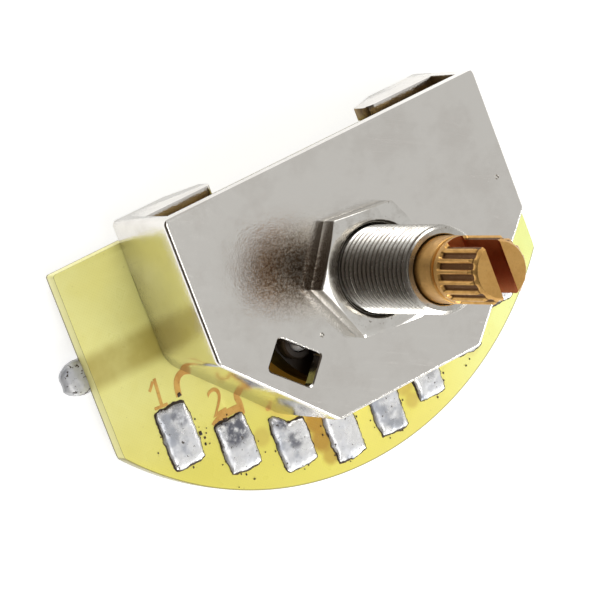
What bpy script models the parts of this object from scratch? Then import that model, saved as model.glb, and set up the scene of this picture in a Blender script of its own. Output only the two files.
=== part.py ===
# Rotary guitar selector switch: a folded nickel cup on a circuit board, with a threaded bushing,
# a splined brass shaft and a sprung ball that clicks between five positions.
# Blender 4.5. Sizes are in millimetres and become metres where a mesh is made.
# The shaft's axis is Z. The front of the panel plate is the plane that heights are named from,
# and the finished part is lifted so that it stands on its rear face at Z = 0.
from math import acos, atan2, ceil, cos, floor, hypot, pi, radians, sin, tau

import bmesh
import bpy
from mathutils import Matrix, Vector

MM = 0.001

# Folded cup
PLATE_HALF_WIDTH = 17.55        # shaft axis to either side of the plate
PLATE_TOP = 12.3                # shaft axis to the straight upper edge
SIDE_END = 1.65                 # how far each side runs below the axis before the slant
PLATE_BOTTOM = 11.35            # shaft axis to the bottom edge
BOTTOM_HALF_WIDTH = 8.15        # half of the bottom edge
SHEET = 1.3                     # thickness of the sheet
CUP_DEPTH = 10.0                # front of the plate to the rim
EDGE_ROUNDING = 0.35            # pressed radius along the plate's outer edge
CORNER_AT_PLATE = 0.7           # fold radius of an outer corner at the plate
CORNER_AT_RIM = 2.6             # the same corner at the rim
TOP_CORNER = 0.5
EAR_WIDTH = 4.4                 # along Z, of the tab folded inward at the top of each side
EAR_TIP = 8.8                   # shaft axis to the inner end of an ear
EAR_REAR_CUT = 3.0              # length of the slanted cut at the ear's inner rear corner
EAR_REAR_CUT_DEPTH = 1.9
EAR_NOSE_RADIUS = 1.1
EAR_STEP = 0.02                 # the folded ear lies this little below the cut edges round it
WINDOW_LENGTH = 4.7
WINDOW_WIDTH = 3.2
WINDOW_X = -10.3
WINDOW_Y = -4.6
WINDOW_TURN = -43.0             # degrees, along the slanted side
WINDOW_CORNER = 0.45
RIM_TAB_WIDTH = 3.0
RIM_TAB_THICKNESS = 1.0
SIDE_TAB_Y = 5.5                # height of the tabs on the two sides

# Threaded bushing and its nut
THREAD_RADIUS = 4.0
THREAD_PITCH = 0.75
THREAD_DEPTH = 0.36
THREAD_STEPS = 26               # columns of points in one turn of the thread
SHANK_RELIEF = 0.08             # the plain part under the nut is this much thinner
BUSHING_REACH = 13.1            # front of the plate to the bushing's end
BUSHING_BORE = 3.25
BUSHING_CHAMFER = 0.55
BORE_CHAMFER = 0.12
BUSHING_FLANGE_RADIUS = 5.6
BUSHING_FLANGE = 1.0
NUT_ACROSS_FLATS = 11.0
NUT_HEIGHT = 2.1
NUT_SINK_RADIUS = 4.45          # dark countersunk ring at the nut's face
NUT_SINK_DEPTH = 0.4
NUT_TURN = -6.2                 # degrees, one corner of the hexagon
NUT_CHAMFER = 0.35
NUT_FACE_MARGIN = 0.1           # the chamfer starts this little inside the flats

# Shaft
SHAFT_RADIUS = 3.0
SHAFT_REACH = 22.55             # front of the plate to the shaft's tip
TIP_RADIUS = 2.5
TIP_CHAMFER = 0.8
SPLINE_LENGTH = 5.6
SPLINE_TEETH = 18
SPLINE_DEPTH = 0.42
SPLINE_LAND = 0.8               # plain ring between the groove and the splines
GROOVE_WIDTH = 0.5
GROOVE_DEPTH = 0.25
SLOT_WIDTH = 1.6
SLOT_DEPTH = 5.9
COLLAR_RADIUS = 4.2
COLLAR_HEIGHT = 0.8
SEAT_RADIUS = 2.6
SEAT_HALF_FLATS = 2.0
TAIL_RADIUS = 1.5
SPLINE_RUNOUT = 0.15            # length over which the splines run in
SPLINE_SMOOTHING = 25.0         # degrees, above which an edge of the shaft stays sharp
CLIP_LAND = 0.5                 # solid shaft behind the retaining ring
CLIP_GROOVE_RADIUS = 1.9
CLIP_THICKNESS = 0.45
CLIP_RADIUS = 3.6
CLIP_MOUTH = 70.0               # degrees of the retaining ring's opening

# Rotor, ball and spring
ROTOR_RADIUS = 7.0
ROTOR_THICKNESS = 3.1
HUB_RADIUS = 4.3
HUB_LENGTH = 4.7
WING_REACH = 10.7
WING_FROM = -17.0               # degrees from the ball to the wing's two ends
WING_TO = 30.0
WING_FLANK = 14.0               # degrees over which each flank runs in to the disc
BALL_ANGLE = 203.5              # degrees, the ball's place at rest
BALL_ORBIT = 8.9
BALL_RADIUS = 0.9
BALL_POCKET_CLEARANCE = 0.1
BALL_PROUD = 0.75               # how far the ball stands out of its boss
BOSS_WALL = 0.75
RECESS_START = 62.0             # degrees from the ball to the first moulded recess
RECESS_SWEEP = 56.0
RECESS_STEP = 90.0
RECESS_COUNT = 3
RECESS_DEPTH = 1.2
RECESS_TO_HUB = 0.5
ROTOR_RIM = 0.9
SPRING_WIRE = 0.13              # radius of the wire
SPRING_TURNS = 5
SPRING_LENGTH = 2.3
DIMPLE_RADIUS = 1.0
DIMPLE_DEPTH = 0.3
POSITIONS = 5
POSITION_STEP = 30.0
FIRST_POSITION = -120.0         # degrees of the first position from rest, which is the last

# Wipers and tracks
WIPER_SHEET = 0.25
OUTER_TRACK_RADIUS = 8.6
INNER_TRACK_RADIUS = 5.4
TRACK_WIDTH = 1.8
TRACK_HEIGHT = 0.1
FINGER_WIDTH = 0.7
FINGER_SPACING = 1.0
FINGER_SWEEP = 36.0
FINGER_TOUCH = 0.86             # share of the sweep at which a finger touches its track
TOUCH_TURN = 36.5               # degrees from the ball to the outer wiper's touch
CARRIER_SWEEP = 52.0
STAKE_RADIUS = 0.45
STAKE_ORBIT = 5.7
STAKE_HEAD = 0.35               # how far a stake stands through its wiper
STAKE_SLIP = 0.08
CARRIER_LAND = 0.8              # sheet to either side of a stake
CARRIER_START = 3.0             # degrees that the carrier laps its fingers
FINGER_TIP_LIFT = 0.45
COMMON_SWEEP = 320.0
CONTACT_SWEEP = 24.0

# Circuit board, pads, lug and rear bearing
BOARD_THICKNESS = 1.6
BOARD_HALF_WIDTH = 23.9
BOARD_SHIFT = -0.9              # the board's middle lies a little to the left of the axis
BOARD_TOP = 10.2
BOARD_SIDE_END = -7.9
BOARD_BOTTOM = -18.95
BOARD_CORNER = 0.8
PAD_COUNT = 8
PAD_PITCH = 5.16
PAD_SHIFT = 0.2                 # the row of pads lies a little to the right of the board's middle
PAD_WIDTH = 3.2
PAD_HEIGHT = 0.42
PAD_CORNER = 0.55
PAD_TO_CUP = 0.6                # between a pad's upper end and the cup's rim
PAD_SPANS = [(-11.2, -5.6), (-14.2, -8.9), (-16.3, -10.4), (-17.7, -12.1)]   # lower and upper end
PAD_LEVELS = [(0.0, 0.0), (0.0, 0.35), (0.22, 0.75), (0.6, 1.0)]   # inset, and share of the height
PAD_LEAST_CORNER = 0.12
LUG_WIDTH = 3.1
LUG_TIP = -27.1
LUG_Y = 0.4
LUG_THICKNESS = 0.5
LUG_EYE_RADIUS = 4.4
BEARING_FLANGE_RADIUS = 4.0
BEARING_FLANGE = 0.6
BEARING_SLEEVE_RADIUS = 2.6
BEARING_FLOOR = 0.5
BEARING_PROUD = 0.35            # the sleeve's end above the board

# Clearances
SEAT_GAP = 0.03                 # between flat faces that rest on each other
SLIP_GAP = 0.12                 # round a piece that passes through another
RUN_GAP = 0.25                  # round a piece that turns
TOUCH_GAP = 0.05                # between sprung pieces and what they press on
PRINT_GAP = 0.02                # under copper and solder on the board

# Making
EDGE_BREAK = 0.2                # chamfer of moulded and turned edges
HUB_CHAMFER = 0.3
LAP = 0.5                       # how far a joined shape reaches into its neighbour
PAST = 1.0                      # how far a cutter runs past the face that it cuts
ROUND_SMOOTHING = 60.0          # degrees, for balls, wire and solder

# Heights that follow from the sizes above, from the front of the plate
BOARD_FRONT = -CUP_DEPTH - SEAT_GAP
BOARD_BACK = BOARD_FRONT - BOARD_THICKNESS
LUG_FRONT = BOARD_BACK - SEAT_GAP
FLANGE_FRONT = LUG_FRONT - LUG_THICKNESS - SEAT_GAP
REAR = FLANGE_FRONT - BEARING_FLANGE
PANEL_Z = -REAR
BUSHING_REAR = -SHEET - SEAT_GAP - BUSHING_FLANGE
COLLAR_FRONT = BUSHING_REAR - 0.5 * RUN_GAP
COLLAR_REAR = COLLAR_FRONT - COLLAR_HEIGHT
ROTOR_FRONT = COLLAR_REAR - SEAT_GAP
ROTOR_REAR = ROTOR_FRONT - ROTOR_THICKNESS
HUB_REAR = ROTOR_FRONT - HUB_LENGTH
CLIP_FRONT = HUB_REAR - SEAT_GAP
CLIP_REAR = CLIP_FRONT - CLIP_THICKNESS
BALL_TOP = -SHEET - TOUCH_GAP
BALL_CENTRE = BALL_TOP - BALL_RADIUS
BOSS_FRONT = BALL_TOP - BALL_PROUD
SPRING_TOP = BALL_CENTRE - BALL_RADIUS - SEAT_GAP
POCKET_FLOOR = SPRING_TOP - SPRING_LENGTH - SEAT_GAP
TRACK_BASE = BOARD_FRONT + PRINT_GAP
TRACK_TOP = TRACK_BASE + TRACK_HEIGHT
WIPER_TOP = ROTOR_REAR - SEAT_GAP
WIPER_TOUCH = TRACK_TOP + TOUCH_GAP


# Helpers

def material(name, colour, roughness, metallic=0.0, alpha=1.0):
    mat = bpy.data.materials.new(name)
    mat.use_nodes = True
    shader = mat.node_tree.nodes["Principled BSDF"]
    shader.inputs["Base Color"].default_value = (*colour, 1.0)
    shader.inputs["Roughness"].default_value = roughness
    shader.inputs["Metallic"].default_value = metallic
    shader.inputs["Alpha"].default_value = alpha
    mat.diffuse_color = (*colour, alpha)
    return mat


def polar(radius, degrees):
    return radius * cos(radians(degrees)), radius * sin(radians(degrees))


def make_object(name, mesh_data, mat=None, sharp=30.0):
    """Turn a bmesh in millimetres about the plate's front into an object in metres."""
    mesh = bpy.data.meshes.new(name)
    bmesh.ops.remove_doubles(mesh_data, verts=mesh_data.verts, dist=0.0005)
    bmesh.ops.recalc_face_normals(mesh_data, faces=mesh_data.faces)
    mesh_data.transform(Matrix.Scale(MM, 4))
    mesh_data.to_mesh(mesh)
    mesh_data.free()
    obj = bpy.data.objects.new(name, mesh)
    bpy.context.collection.objects.link(obj)
    if mat:
        mesh.materials.append(mat)
        mesh.shade_smooth()
        mesh.set_sharp_from_angle(angle=radians(sharp))
    return obj


def loft(rings):
    """A closed solid through rings of equal length, with flat ends."""
    bm = bmesh.new()
    loops = [[bm.verts.new(point) for point in ring] for ring in rings]
    count = len(rings[0])
    for low, high in zip(loops, loops[1:]):
        for i in range(count):
            j = (i + 1) % count
            bm.faces.new((low[i], low[j], high[j], high[i]))
    bm.faces.new(list(reversed(loops[0])))
    bm.faces.new(loops[-1])
    return bm


def turned(profile, segments=64):
    """Revolve a closed profile of (radius, height) points about Z."""
    bm = bmesh.new()
    rings = []
    for radius, z in profile:
        if radius < 1e-6:
            rings.append([bm.verts.new((0, 0, z))])
        else:
            rings.append([bm.verts.new((*polar(radius, 360 * k / segments), z)) for k in range(segments)])
    for a, b in zip(rings, rings[1:] + rings[:1]):
        if len(a) == 1 and len(b) == 1:
            continue
        for k in range(segments):
            n = (k + 1) % segments
            corners = [a[0]] if len(a) == 1 else [a[k], a[n]]
            corners += [b[0]] if len(b) == 1 else [b[n], b[k]]
            bm.faces.new(corners)
    return bm


def rounded_outline(corners, steps=6):
    """Points of a closed outline given as (x, y, corner radius), run counter-clockwise."""
    points = []
    for i, (x, y, radius) in enumerate(corners):
        here = Vector((x, y))
        before = (Vector(corners[i - 1][:2]) - here).normalized()
        after = (Vector(corners[(i + 1) % len(corners)][:2]) - here).normalized()
        half = acos(max(-1.0, min(1.0, before.dot(after)))) / 2
        reach = radius * cos(half) / sin(half)
        middle = here + (before + after).normalized() * (radius / sin(half))
        start = here + before * reach - middle
        sweep = pi - 2 * half
        turn = 1 if before.x * after.y - before.y * after.x < 0 else -1
        for k in range(steps + 1):
            arm = start.copy()
            arm.rotate(Matrix.Rotation(turn * sweep * k / steps, 2))
            points.append(middle + arm)
    return points


def plate(outline, low, high):
    """Extrude a flat outline between two heights."""
    return loft([[(p[0], p[1], low) for p in outline], [(p[0], p[1], high) for p in outline]])


def arc(radius, start, end, steps):
    return [polar(radius, start + (end - start) * k / steps) for k in range(steps + 1)]


def sector(inner, outer, start, end, low, high):
    """A flat piece of a ring."""
    steps = max(2, ceil(abs(end - start) / 6))
    return plate(arc(outer, start, end, steps) + list(reversed(arc(inner, start, end, steps))), low, high)


def box(x0, x1, y0, y1, z0, z1):
    return plate([(x0, y0), (x1, y0), (x1, y1), (x0, y1)], z0, z1)


def combine(target, pieces, operation):
    """Join or cut other shapes, given in millimetres, into an object."""
    for piece in pieces:
        tool = make_object(target.name + "_tool", piece)
        step = target.modifiers.new("step", 'BOOLEAN')
        step.operation = operation
        step.solver = 'EXACT'
        step.object = tool
        graph = bpy.context.evaluated_depsgraph_get()
        result = bpy.data.meshes.new_from_object(target.evaluated_get(graph))
        target.modifiers.clear()
        target.data = result
        bpy.data.objects.remove(tool)
    return target


def finish(target, mat, sharp=30.0):
    """Give a combined object its material and smooth round faces."""
    target.data.materials.clear()
    target.data.materials.append(mat)
    for face in target.data.polygons:
        face.material_index = 0
    target.data.shade_smooth()
    target.data.set_sharp_from_angle(angle=radians(sharp))
    return target


# Sub-parts

def cup_outline(inset, corner, above=0.0):
    """The cup's outline, moved inward, with its top edge raised where the inside runs out of it."""
    top = PLATE_TOP - inset if above == 0.0 else PLATE_TOP + above
    slope = hypot(PLATE_HALF_WIDTH - BOTTOM_HALF_WIDTH, PLATE_BOTTOM - SIDE_END)
    run, rise = (PLATE_HALF_WIDTH - BOTTOM_HALF_WIDTH) / slope, (PLATE_BOTTOM - SIDE_END) / slope
    side = PLATE_HALF_WIDTH - inset
    side_y = -SIDE_END + inset * (1 - run) / rise
    bottom_y = -PLATE_BOTTOM + inset
    bottom_x = BOTTOM_HALF_WIDTH - inset * (1 - rise) / run
    left = [(-side, top, TOP_CORNER), (-side, side_y, corner), (-bottom_x, bottom_y, corner)]
    right = [(bottom_x, bottom_y, corner), (side, side_y, corner), (side, top, TOP_CORNER)]
    return rounded_outline(left + right)


def ear(side):
    """The tab folded inward from the top of one side."""
    rear = -CUP_DEPTH + EAR_STEP
    front = rear + EAR_WIDTH
    top = PLATE_TOP - EAR_STEP
    flat = [(PLATE_HALF_WIDTH - 0.5 * SHEET, rear, 0.01), (PLATE_HALF_WIDTH - 0.5 * SHEET, front, 0.01),
            (EAR_TIP, front, EAR_NOSE_RADIUS), (EAR_TIP, rear + EAR_REAR_CUT_DEPTH, 0.3),
            (EAR_TIP + EAR_REAR_CUT, rear, 0.3)]
    outline = rounded_outline(flat, 4)
    return loft([[(side * x, y, z) for x, z in outline] for y in (top - SHEET, top)])


def rim_tabs():
    """Four tabs that pass through the board and stand level with the rear face, as (x, y, turn)."""
    slant = atan2(PLATE_BOTTOM - SIDE_END, PLATE_HALF_WIDTH - BOTTOM_HALF_WIDTH)
    middle_x = 0.5 * (PLATE_HALF_WIDTH + BOTTOM_HALF_WIDTH) - 0.5 * SHEET * sin(slant)
    middle_y = -0.5 * (PLATE_BOTTOM + SIDE_END) + 0.5 * SHEET * cos(slant)
    side_x = PLATE_HALF_WIDTH - 0.5 * SHEET
    return [(side_x, SIDE_TAB_Y, 0.5 * pi), (-side_x, SIDE_TAB_Y, 0.5 * pi),
            (middle_x, middle_y, slant), (-middle_x, middle_y, -slant)]


def tab_shape(x, y, turn, grow, low, high):
    shape = box(-0.5 * RIM_TAB_WIDTH - grow, 0.5 * RIM_TAB_WIDTH + grow,
                -0.5 * RIM_TAB_THICKNESS - grow, 0.5 * RIM_TAB_THICKNESS + grow, low, high)
    shape.transform(Matrix.Translation((x, y, 0)) @ Matrix.Rotation(turn, 4, 'Z'))
    return shape


def window():
    half_x, half_y = 0.5 * WINDOW_LENGTH, 0.5 * WINDOW_WIDTH
    corners = [(x, y, WINDOW_CORNER) for x, y in ((half_x, half_y), (-half_x, half_y),
                                                  (-half_x, -half_y), (half_x, -half_y))]
    shape = plate(rounded_outline(corners, 4), -2 * SHEET, SHEET)
    turn = Matrix.Rotation(radians(WINDOW_TURN), 4, 'Z')
    shape.transform(Matrix.Translation((WINDOW_X, WINDOW_Y, 0)) @ turn)
    return shape


def dimples():
    """Shallow pockets behind the plate that the ball drops into."""
    bowl = (DIMPLE_RADIUS ** 2 + DIMPLE_DEPTH ** 2) / (2 * DIMPLE_DEPTH)
    shapes = []
    for k in range(POSITIONS):
        x, y = polar(BALL_ORBIT, BALL_ANGLE + FIRST_POSITION + POSITION_STEP * k)
        profile = [(0.0, -SHEET - EDGE_BREAK), (DIMPLE_RADIUS, -SHEET - EDGE_BREAK), (DIMPLE_RADIUS, -SHEET)]
        for step in range(1, 4):
            angle = (1 - step / 3) * atan2(DIMPLE_RADIUS, bowl - DIMPLE_DEPTH)
            profile.append((bowl * sin(angle), -SHEET + DIMPLE_DEPTH - bowl + bowl * cos(angle)))
        shape = turned(profile, 20)
        shape.transform(Matrix.Translation((x, y, 0)))
        shapes.append(shape)
    return shapes


def build_cup(mat):
    rings = []
    for step in range(5):
        lean = 0.5 * pi * step / 4
        inset = EDGE_ROUNDING * (1 - sin(lean))
        rings.append((inset, -EDGE_ROUNDING * (1 - cos(lean)), CORNER_AT_PLATE))
    outer = [[(x, y, z) for x, y in cup_outline(inset, corner)] for inset, z, corner in rings]
    for share in (0.35, 0.7, 1.0):
        corner = CORNER_AT_PLATE + (CORNER_AT_RIM - CORNER_AT_PLATE) * share
        depth = SHEET + (CUP_DEPTH - SHEET) * share
        outer.append([(x, y, -depth) for x, y in cup_outline(0.0, corner)])
    cup = make_object("frame_cup", loft(outer))
    inner = []
    for share in (0.0, 0.35, 0.7, 1.0, 1.2):
        corner = CORNER_AT_PLATE + (CORNER_AT_RIM - CORNER_AT_PLATE) * share
        depth = SHEET + (CUP_DEPTH - SHEET) * share
        inner.append([(x, y, -depth) for x, y in cup_outline(SHEET, max(0.3, corner - 0.5 * SHEET), SHEET)])
    combine(cup, [loft(inner)], 'DIFFERENCE')
    combine(cup, [ear(1), ear(-1)], 'UNION')
    tabs = [tab_shape(*place, 0.0, REAR, -CUP_DEPTH + LAP) for place in rim_tabs()]
    combine(cup, tabs, 'UNION')
    hole = turned([(0, SHEET), (THREAD_RADIUS + SLIP_GAP, SHEET), (THREAD_RADIUS + SLIP_GAP, -2 * SHEET),
                   (0, -2 * SHEET)])
    combine(cup, [hole, window()] + dimples(), 'DIFFERENCE')
    return finish(cup, mat)


def threaded_rod(low, high):
    """A right-handed V thread. Each column of points stands a little higher than the one before it."""
    base = BUSHING_REAR + BUSHING_FLANGE + 0.5 * THREAD_PITCH
    first = floor((low - base) / THREAD_PITCH) - 1
    last = ceil((high - base) / THREAD_PITCH) + 1
    bm = bmesh.new()
    columns = []
    for step in range(THREAD_STEPS):
        column = []
        for turn in range(first, last):
            root = base + THREAD_PITCH * (turn + step / THREAD_STEPS)
            crest = root + 0.5 * THREAD_PITCH
            for radius, z in ((THREAD_RADIUS - THREAD_DEPTH, root), (THREAD_RADIUS, crest)):
                column.append(bm.verts.new((*polar(radius, 360 * step / THREAD_STEPS), z)))
        columns.append(column)
    for column, beside in zip(columns, columns[1:] + [columns[0][2:]]):
        for i in range(len(beside) - 1):
            bm.faces.new((column[i], beside[i], beside[i + 1], column[i + 1]))
    ends = [[column[0] for column in columns] + [columns[0][2], columns[0][1]],
            [column[-1] for column in columns] + [columns[-1][-2], columns[-1][-3]]]
    for loop in ends:
        middle = bm.verts.new((0, 0, loop[0].co.z))
        for here, there in zip(loop, loop[1:] + loop[:1]):
            bm.faces.new((here, there, middle))
    return bm


def build_bushing(mat):
    """A screw met with a turned blank, on a plain shank with a flange, and bored through."""
    run_out = 0.5 * NUT_HEIGHT
    bushing = make_object("threaded_bushing", threaded_rod(run_out, BUSHING_REACH))
    wide = THREAD_RADIUS + EDGE_BREAK
    blank = turned([(0, run_out), (wide, run_out), (wide, BUSHING_REACH - BUSHING_CHAMFER - EDGE_BREAK),
                    (THREAD_RADIUS - BUSHING_CHAMFER, BUSHING_REACH), (0, BUSHING_REACH)], THREAD_STEPS)
    combine(bushing, [blank], 'INTERSECT')
    flange_front, shank = BUSHING_REAR + BUSHING_FLANGE, THREAD_RADIUS - SHANK_RELIEF
    root = turned([(0, BUSHING_REAR), (BUSHING_FLANGE_RADIUS, BUSHING_REAR),
                   (BUSHING_FLANGE_RADIUS, flange_front), (shank, flange_front), (shank, run_out + LAP),
                   (0, run_out + LAP)], 40)
    combine(bushing, [root], 'UNION')
    wide = BUSHING_BORE + BORE_CHAMFER
    bore = turned([(0, BUSHING_REAR - PAST), (BUSHING_BORE, BUSHING_REAR - PAST),
                   (BUSHING_BORE, BUSHING_REACH - BORE_CHAMFER), (wide, BUSHING_REACH),
                   (wide, BUSHING_REACH + PAST), (0, BUSHING_REACH + PAST)], 40)
    combine(bushing, [bore], 'DIFFERENCE')
    return finish(bushing, mat)


def build_nut(mat):
    """A hexagon met with a turned blank, whose slopes chamfer the front corners."""
    point = NUT_ACROSS_FLATS / (2 * cos(pi / 6))
    base = SEAT_GAP
    hexagon = plate([polar(point, NUT_TURN + 60 * k) for k in range(6)], base, base + NUT_HEIGHT)
    nut = make_object("hex_nut", hexagon)
    top = base + NUT_HEIGHT
    rim = 0.5 * NUT_ACROSS_FLATS - NUT_FACE_MARGIN
    wide = point + EDGE_BREAK
    slope = (wide - rim) * NUT_CHAMFER / (point - rim)
    blank = turned([(0, base - PAST), (wide, base - PAST), (wide, top - slope), (rim, top), (0, top)], 72)
    combine(nut, [blank], 'INTERSECT')
    bore = THREAD_RADIUS + SLIP_GAP
    sink = NUT_SINK_RADIUS
    hole = turned([(0, base - PAST), (bore, base - PAST), (bore, top - NUT_SINK_DEPTH), (sink, top),
                   (sink, top + PAST), (0, top + PAST)])
    combine(nut, [hole], 'DIFFERENCE')
    return finish(nut, mat)


def shaft_ring(z, radius, spline=0.0, half_flats=None):
    """Four points for each tooth, so that every ring of the shaft has the same count."""
    pitch = 360 / SPLINE_TEETH
    ring = []
    for tooth in range(SPLINE_TEETH):
        for share, low in ((-0.31, True), (0.17, True), (0.31, False), (0.55, False)):
            x, y = polar(radius - (spline if low else 0.0), pitch * (tooth + share))
            if half_flats:
                x = max(-half_flats, min(half_flats, x))
            ring.append((x, y, z))
    return ring


def build_shaft(mat):
    spline_start = SHAFT_REACH - SPLINE_LENGTH
    groove_front = spline_start - SPLINE_LAND
    groove_rear = groove_front - GROOVE_WIDTH
    tail_end = REAR + BEARING_FLOOR + 0.5 * RUN_GAP
    land_end = CLIP_REAR - CLIP_LAND
    levels = [(tail_end, TAIL_RADIUS - EDGE_BREAK), (tail_end + EDGE_BREAK, TAIL_RADIUS),
              (land_end, TAIL_RADIUS), (land_end, SEAT_RADIUS - EDGE_BREAK),
              (CLIP_REAR, SEAT_RADIUS - EDGE_BREAK), (CLIP_REAR, CLIP_GROOVE_RADIUS),
              (CLIP_FRONT, CLIP_GROOVE_RADIUS)]
    rings = [shaft_ring(z, radius) for z, radius in levels]
    rings += [shaft_ring(z, SEAT_RADIUS, half_flats=SEAT_HALF_FLATS) for z in (CLIP_FRONT, COLLAR_REAR)]
    levels = [(COLLAR_REAR, COLLAR_RADIUS), (COLLAR_FRONT, COLLAR_RADIUS), (COLLAR_FRONT, SHAFT_RADIUS),
              (groove_rear, SHAFT_RADIUS), (groove_rear, SHAFT_RADIUS - GROOVE_DEPTH),
              (groove_front, SHAFT_RADIUS - GROOVE_DEPTH), (groove_front, SHAFT_RADIUS),
              (spline_start - SPLINE_RUNOUT, SHAFT_RADIUS)]
    rings += [shaft_ring(z, radius) for z, radius in levels]
    spline_end = SHAFT_REACH - TIP_CHAMFER
    rings += [shaft_ring(z, SHAFT_RADIUS, spline=SPLINE_DEPTH) for z in (spline_start, spline_end)]
    rings.append(shaft_ring(SHAFT_REACH, TIP_RADIUS))
    shaft = make_object("shaft", loft(rings))
    half = 0.5 * SLOT_WIDTH
    slot = box(-half, half, -2 * SHAFT_RADIUS, 2 * SHAFT_RADIUS, SHAFT_REACH - SLOT_DEPTH, SHAFT_REACH + PAST)
    combine(shaft, [slot], 'DIFFERENCE')
    return finish(shaft, mat, SPLINE_SMOOTHING)


def rotor_outline():
    """A round disc with one wing, which carries the ball and shields the contacts."""
    disc = arc(ROTOR_RADIUS, BALL_ANGLE + WING_TO + WING_FLANK, BALL_ANGLE + 360 + WING_FROM - WING_FLANK, 44)
    wing = arc(WING_REACH, BALL_ANGLE + WING_FROM, BALL_ANGLE + WING_TO, 12)
    return disc + wing


def build_rotor(mat):
    rotor = make_object("rotor", plate(rotor_outline(), ROTOR_REAR, ROTOR_FRONT))
    ball_x, ball_y = polar(BALL_ORBIT, BALL_ANGLE)
    boss_radius, root = BALL_RADIUS + BOSS_WALL, ROTOR_REAR + LAP
    boss = turned([(0, root), (boss_radius, root), (boss_radius, BOSS_FRONT - EDGE_BREAK),
                   (boss_radius - EDGE_BREAK, BOSS_FRONT), (0, BOSS_FRONT)], 32)
    boss.transform(Matrix.Translation((ball_x, ball_y, 0)))
    hub = turned([(0, HUB_REAR), (HUB_RADIUS - HUB_CHAMFER, HUB_REAR), (HUB_RADIUS, HUB_REAR + HUB_CHAMFER),
                  (HUB_RADIUS, root), (0, root)], 48)
    stakes = []
    head = WIPER_TOP - WIPER_SHEET - STAKE_HEAD
    for x, y in stake_places():
        stake = turned([(0, head), (STAKE_RADIUS - 0.5 * EDGE_BREAK, head),
                        (STAKE_RADIUS, head + 0.5 * EDGE_BREAK), (STAKE_RADIUS, root), (0, root)], 12)
        stake.transform(Matrix.Translation((x, y, 0)))
        stakes.append(stake)
    combine(rotor, [boss, hub] + stakes, 'UNION')
    seat = loft([shaft_ring(z, SEAT_RADIUS + SLIP_GAP, half_flats=SEAT_HALF_FLATS + SLIP_GAP)
                 for z in (HUB_REAR - PAST, ROTOR_FRONT + PAST)])
    pocket_radius = BALL_RADIUS + BALL_POCKET_CLEARANCE
    pocket = turned([(0, POCKET_FLOOR), (pocket_radius, POCKET_FLOOR), (pocket_radius, BOSS_FRONT + PAST),
                     (0, BOSS_FRONT + PAST)], 32)
    pocket.transform(Matrix.Translation((ball_x, ball_y, 0)))
    recesses = []
    for k in range(RECESS_COUNT):
        start = BALL_ANGLE + RECESS_START + RECESS_STEP * k
        inner, outer = HUB_RADIUS + RECESS_TO_HUB, ROTOR_RADIUS - ROTOR_RIM
        recesses.append(sector(inner, outer, start, start + RECESS_SWEEP, ROTOR_FRONT - RECESS_DEPTH,
                               ROTOR_FRONT + PAST))
    combine(rotor, [seat, pocket] + recesses, 'DIFFERENCE')
    return finish(rotor, mat)


def build_ball(mat):
    steps = 10
    profile = [(BALL_RADIUS * sin(pi * k / steps), BALL_CENTRE - BALL_RADIUS * cos(pi * k / steps))
               for k in range(steps + 1)]
    profile[0] = (0.0, BALL_CENTRE - BALL_RADIUS)
    profile[-1] = (0.0, BALL_CENTRE + BALL_RADIUS)
    ball = turned(profile, 20)
    ball.transform(Matrix.Translation((*polar(BALL_ORBIT, BALL_ANGLE), 0)))
    return make_object("detent_ball", ball, mat, ROUND_SMOOTHING)


def build_spring(mat):
    """A wire tube along a helix that flattens at both ends."""
    coil = BALL_RADIUS - SPRING_WIRE - TOUCH_GAP
    per_turn, sides = 12, 5
    count = SPRING_TURNS * per_turn
    low = SPRING_TOP - SPRING_LENGTH + SPRING_WIRE
    rise = SPRING_LENGTH - 2 * SPRING_WIRE
    rings = []
    for k in range(count + 1):
        share = k / count
        eased = min(1.0, max(0.0, (share - 0.12) / 0.76))
        centre = Vector((*polar(coil, 360 * SPRING_TURNS * share), low + rise * eased))
        outward = Vector((*polar(1.0, 360 * SPRING_TURNS * share), 0))
        ring = []
        for side in range(sides):
            across, along = polar(SPRING_WIRE, 360 * side / sides)
            ring.append(centre + outward * across + Vector((0, 0, along)))
        rings.append(ring)
    spring = loft(rings)
    spring.transform(Matrix.Translation((*polar(BALL_ORBIT, BALL_ANGLE), 0)))
    return make_object("detent_spring", spring, mat, ROUND_SMOOTHING)


def outer_touch():
    return BALL_ANGLE + TOUCH_TURN


def stake_places():
    """Where the rotor's moulded stakes hold the two wipers."""
    return [polar(STAKE_ORBIT, touch + FINGER_SWEEP * FINGER_TOUCH + CARRIER_SWEEP * share)
            for touch in (outer_touch(), outer_touch() + 180) for share in (0.25, 0.75)]


def finger(radius, touch):
    """A sprung strip that runs round the axis, down to the tracks and up again at its tip."""
    start = touch + FINGER_SWEEP * FINGER_TOUCH
    steps = 10
    top = WIPER_TOP - 0.5 * WIPER_SHEET
    touch = WIPER_TOUCH + 0.5 * WIPER_SHEET
    rings = []
    for k in range(steps + 1):
        share = k / steps
        drop = min(1.0, share / FINGER_TOUCH) ** 1.3
        lift = FINGER_TIP_LIFT * max(0.0, (share - FINGER_TOUCH) / (1 - FINGER_TOUCH))
        z = top + (touch - top) * drop + lift
        near = polar(radius - 0.5 * FINGER_WIDTH, start - FINGER_SWEEP * share)
        far = polar(radius + 0.5 * FINGER_WIDTH, start - FINGER_SWEEP * share)
        rings.append([(*near, z - 0.5 * WIPER_SHEET), (*far, z - 0.5 * WIPER_SHEET),
                      (*far, z + 0.5 * WIPER_SHEET), (*near, z + 0.5 * WIPER_SHEET)])
    return loft(rings)


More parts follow.
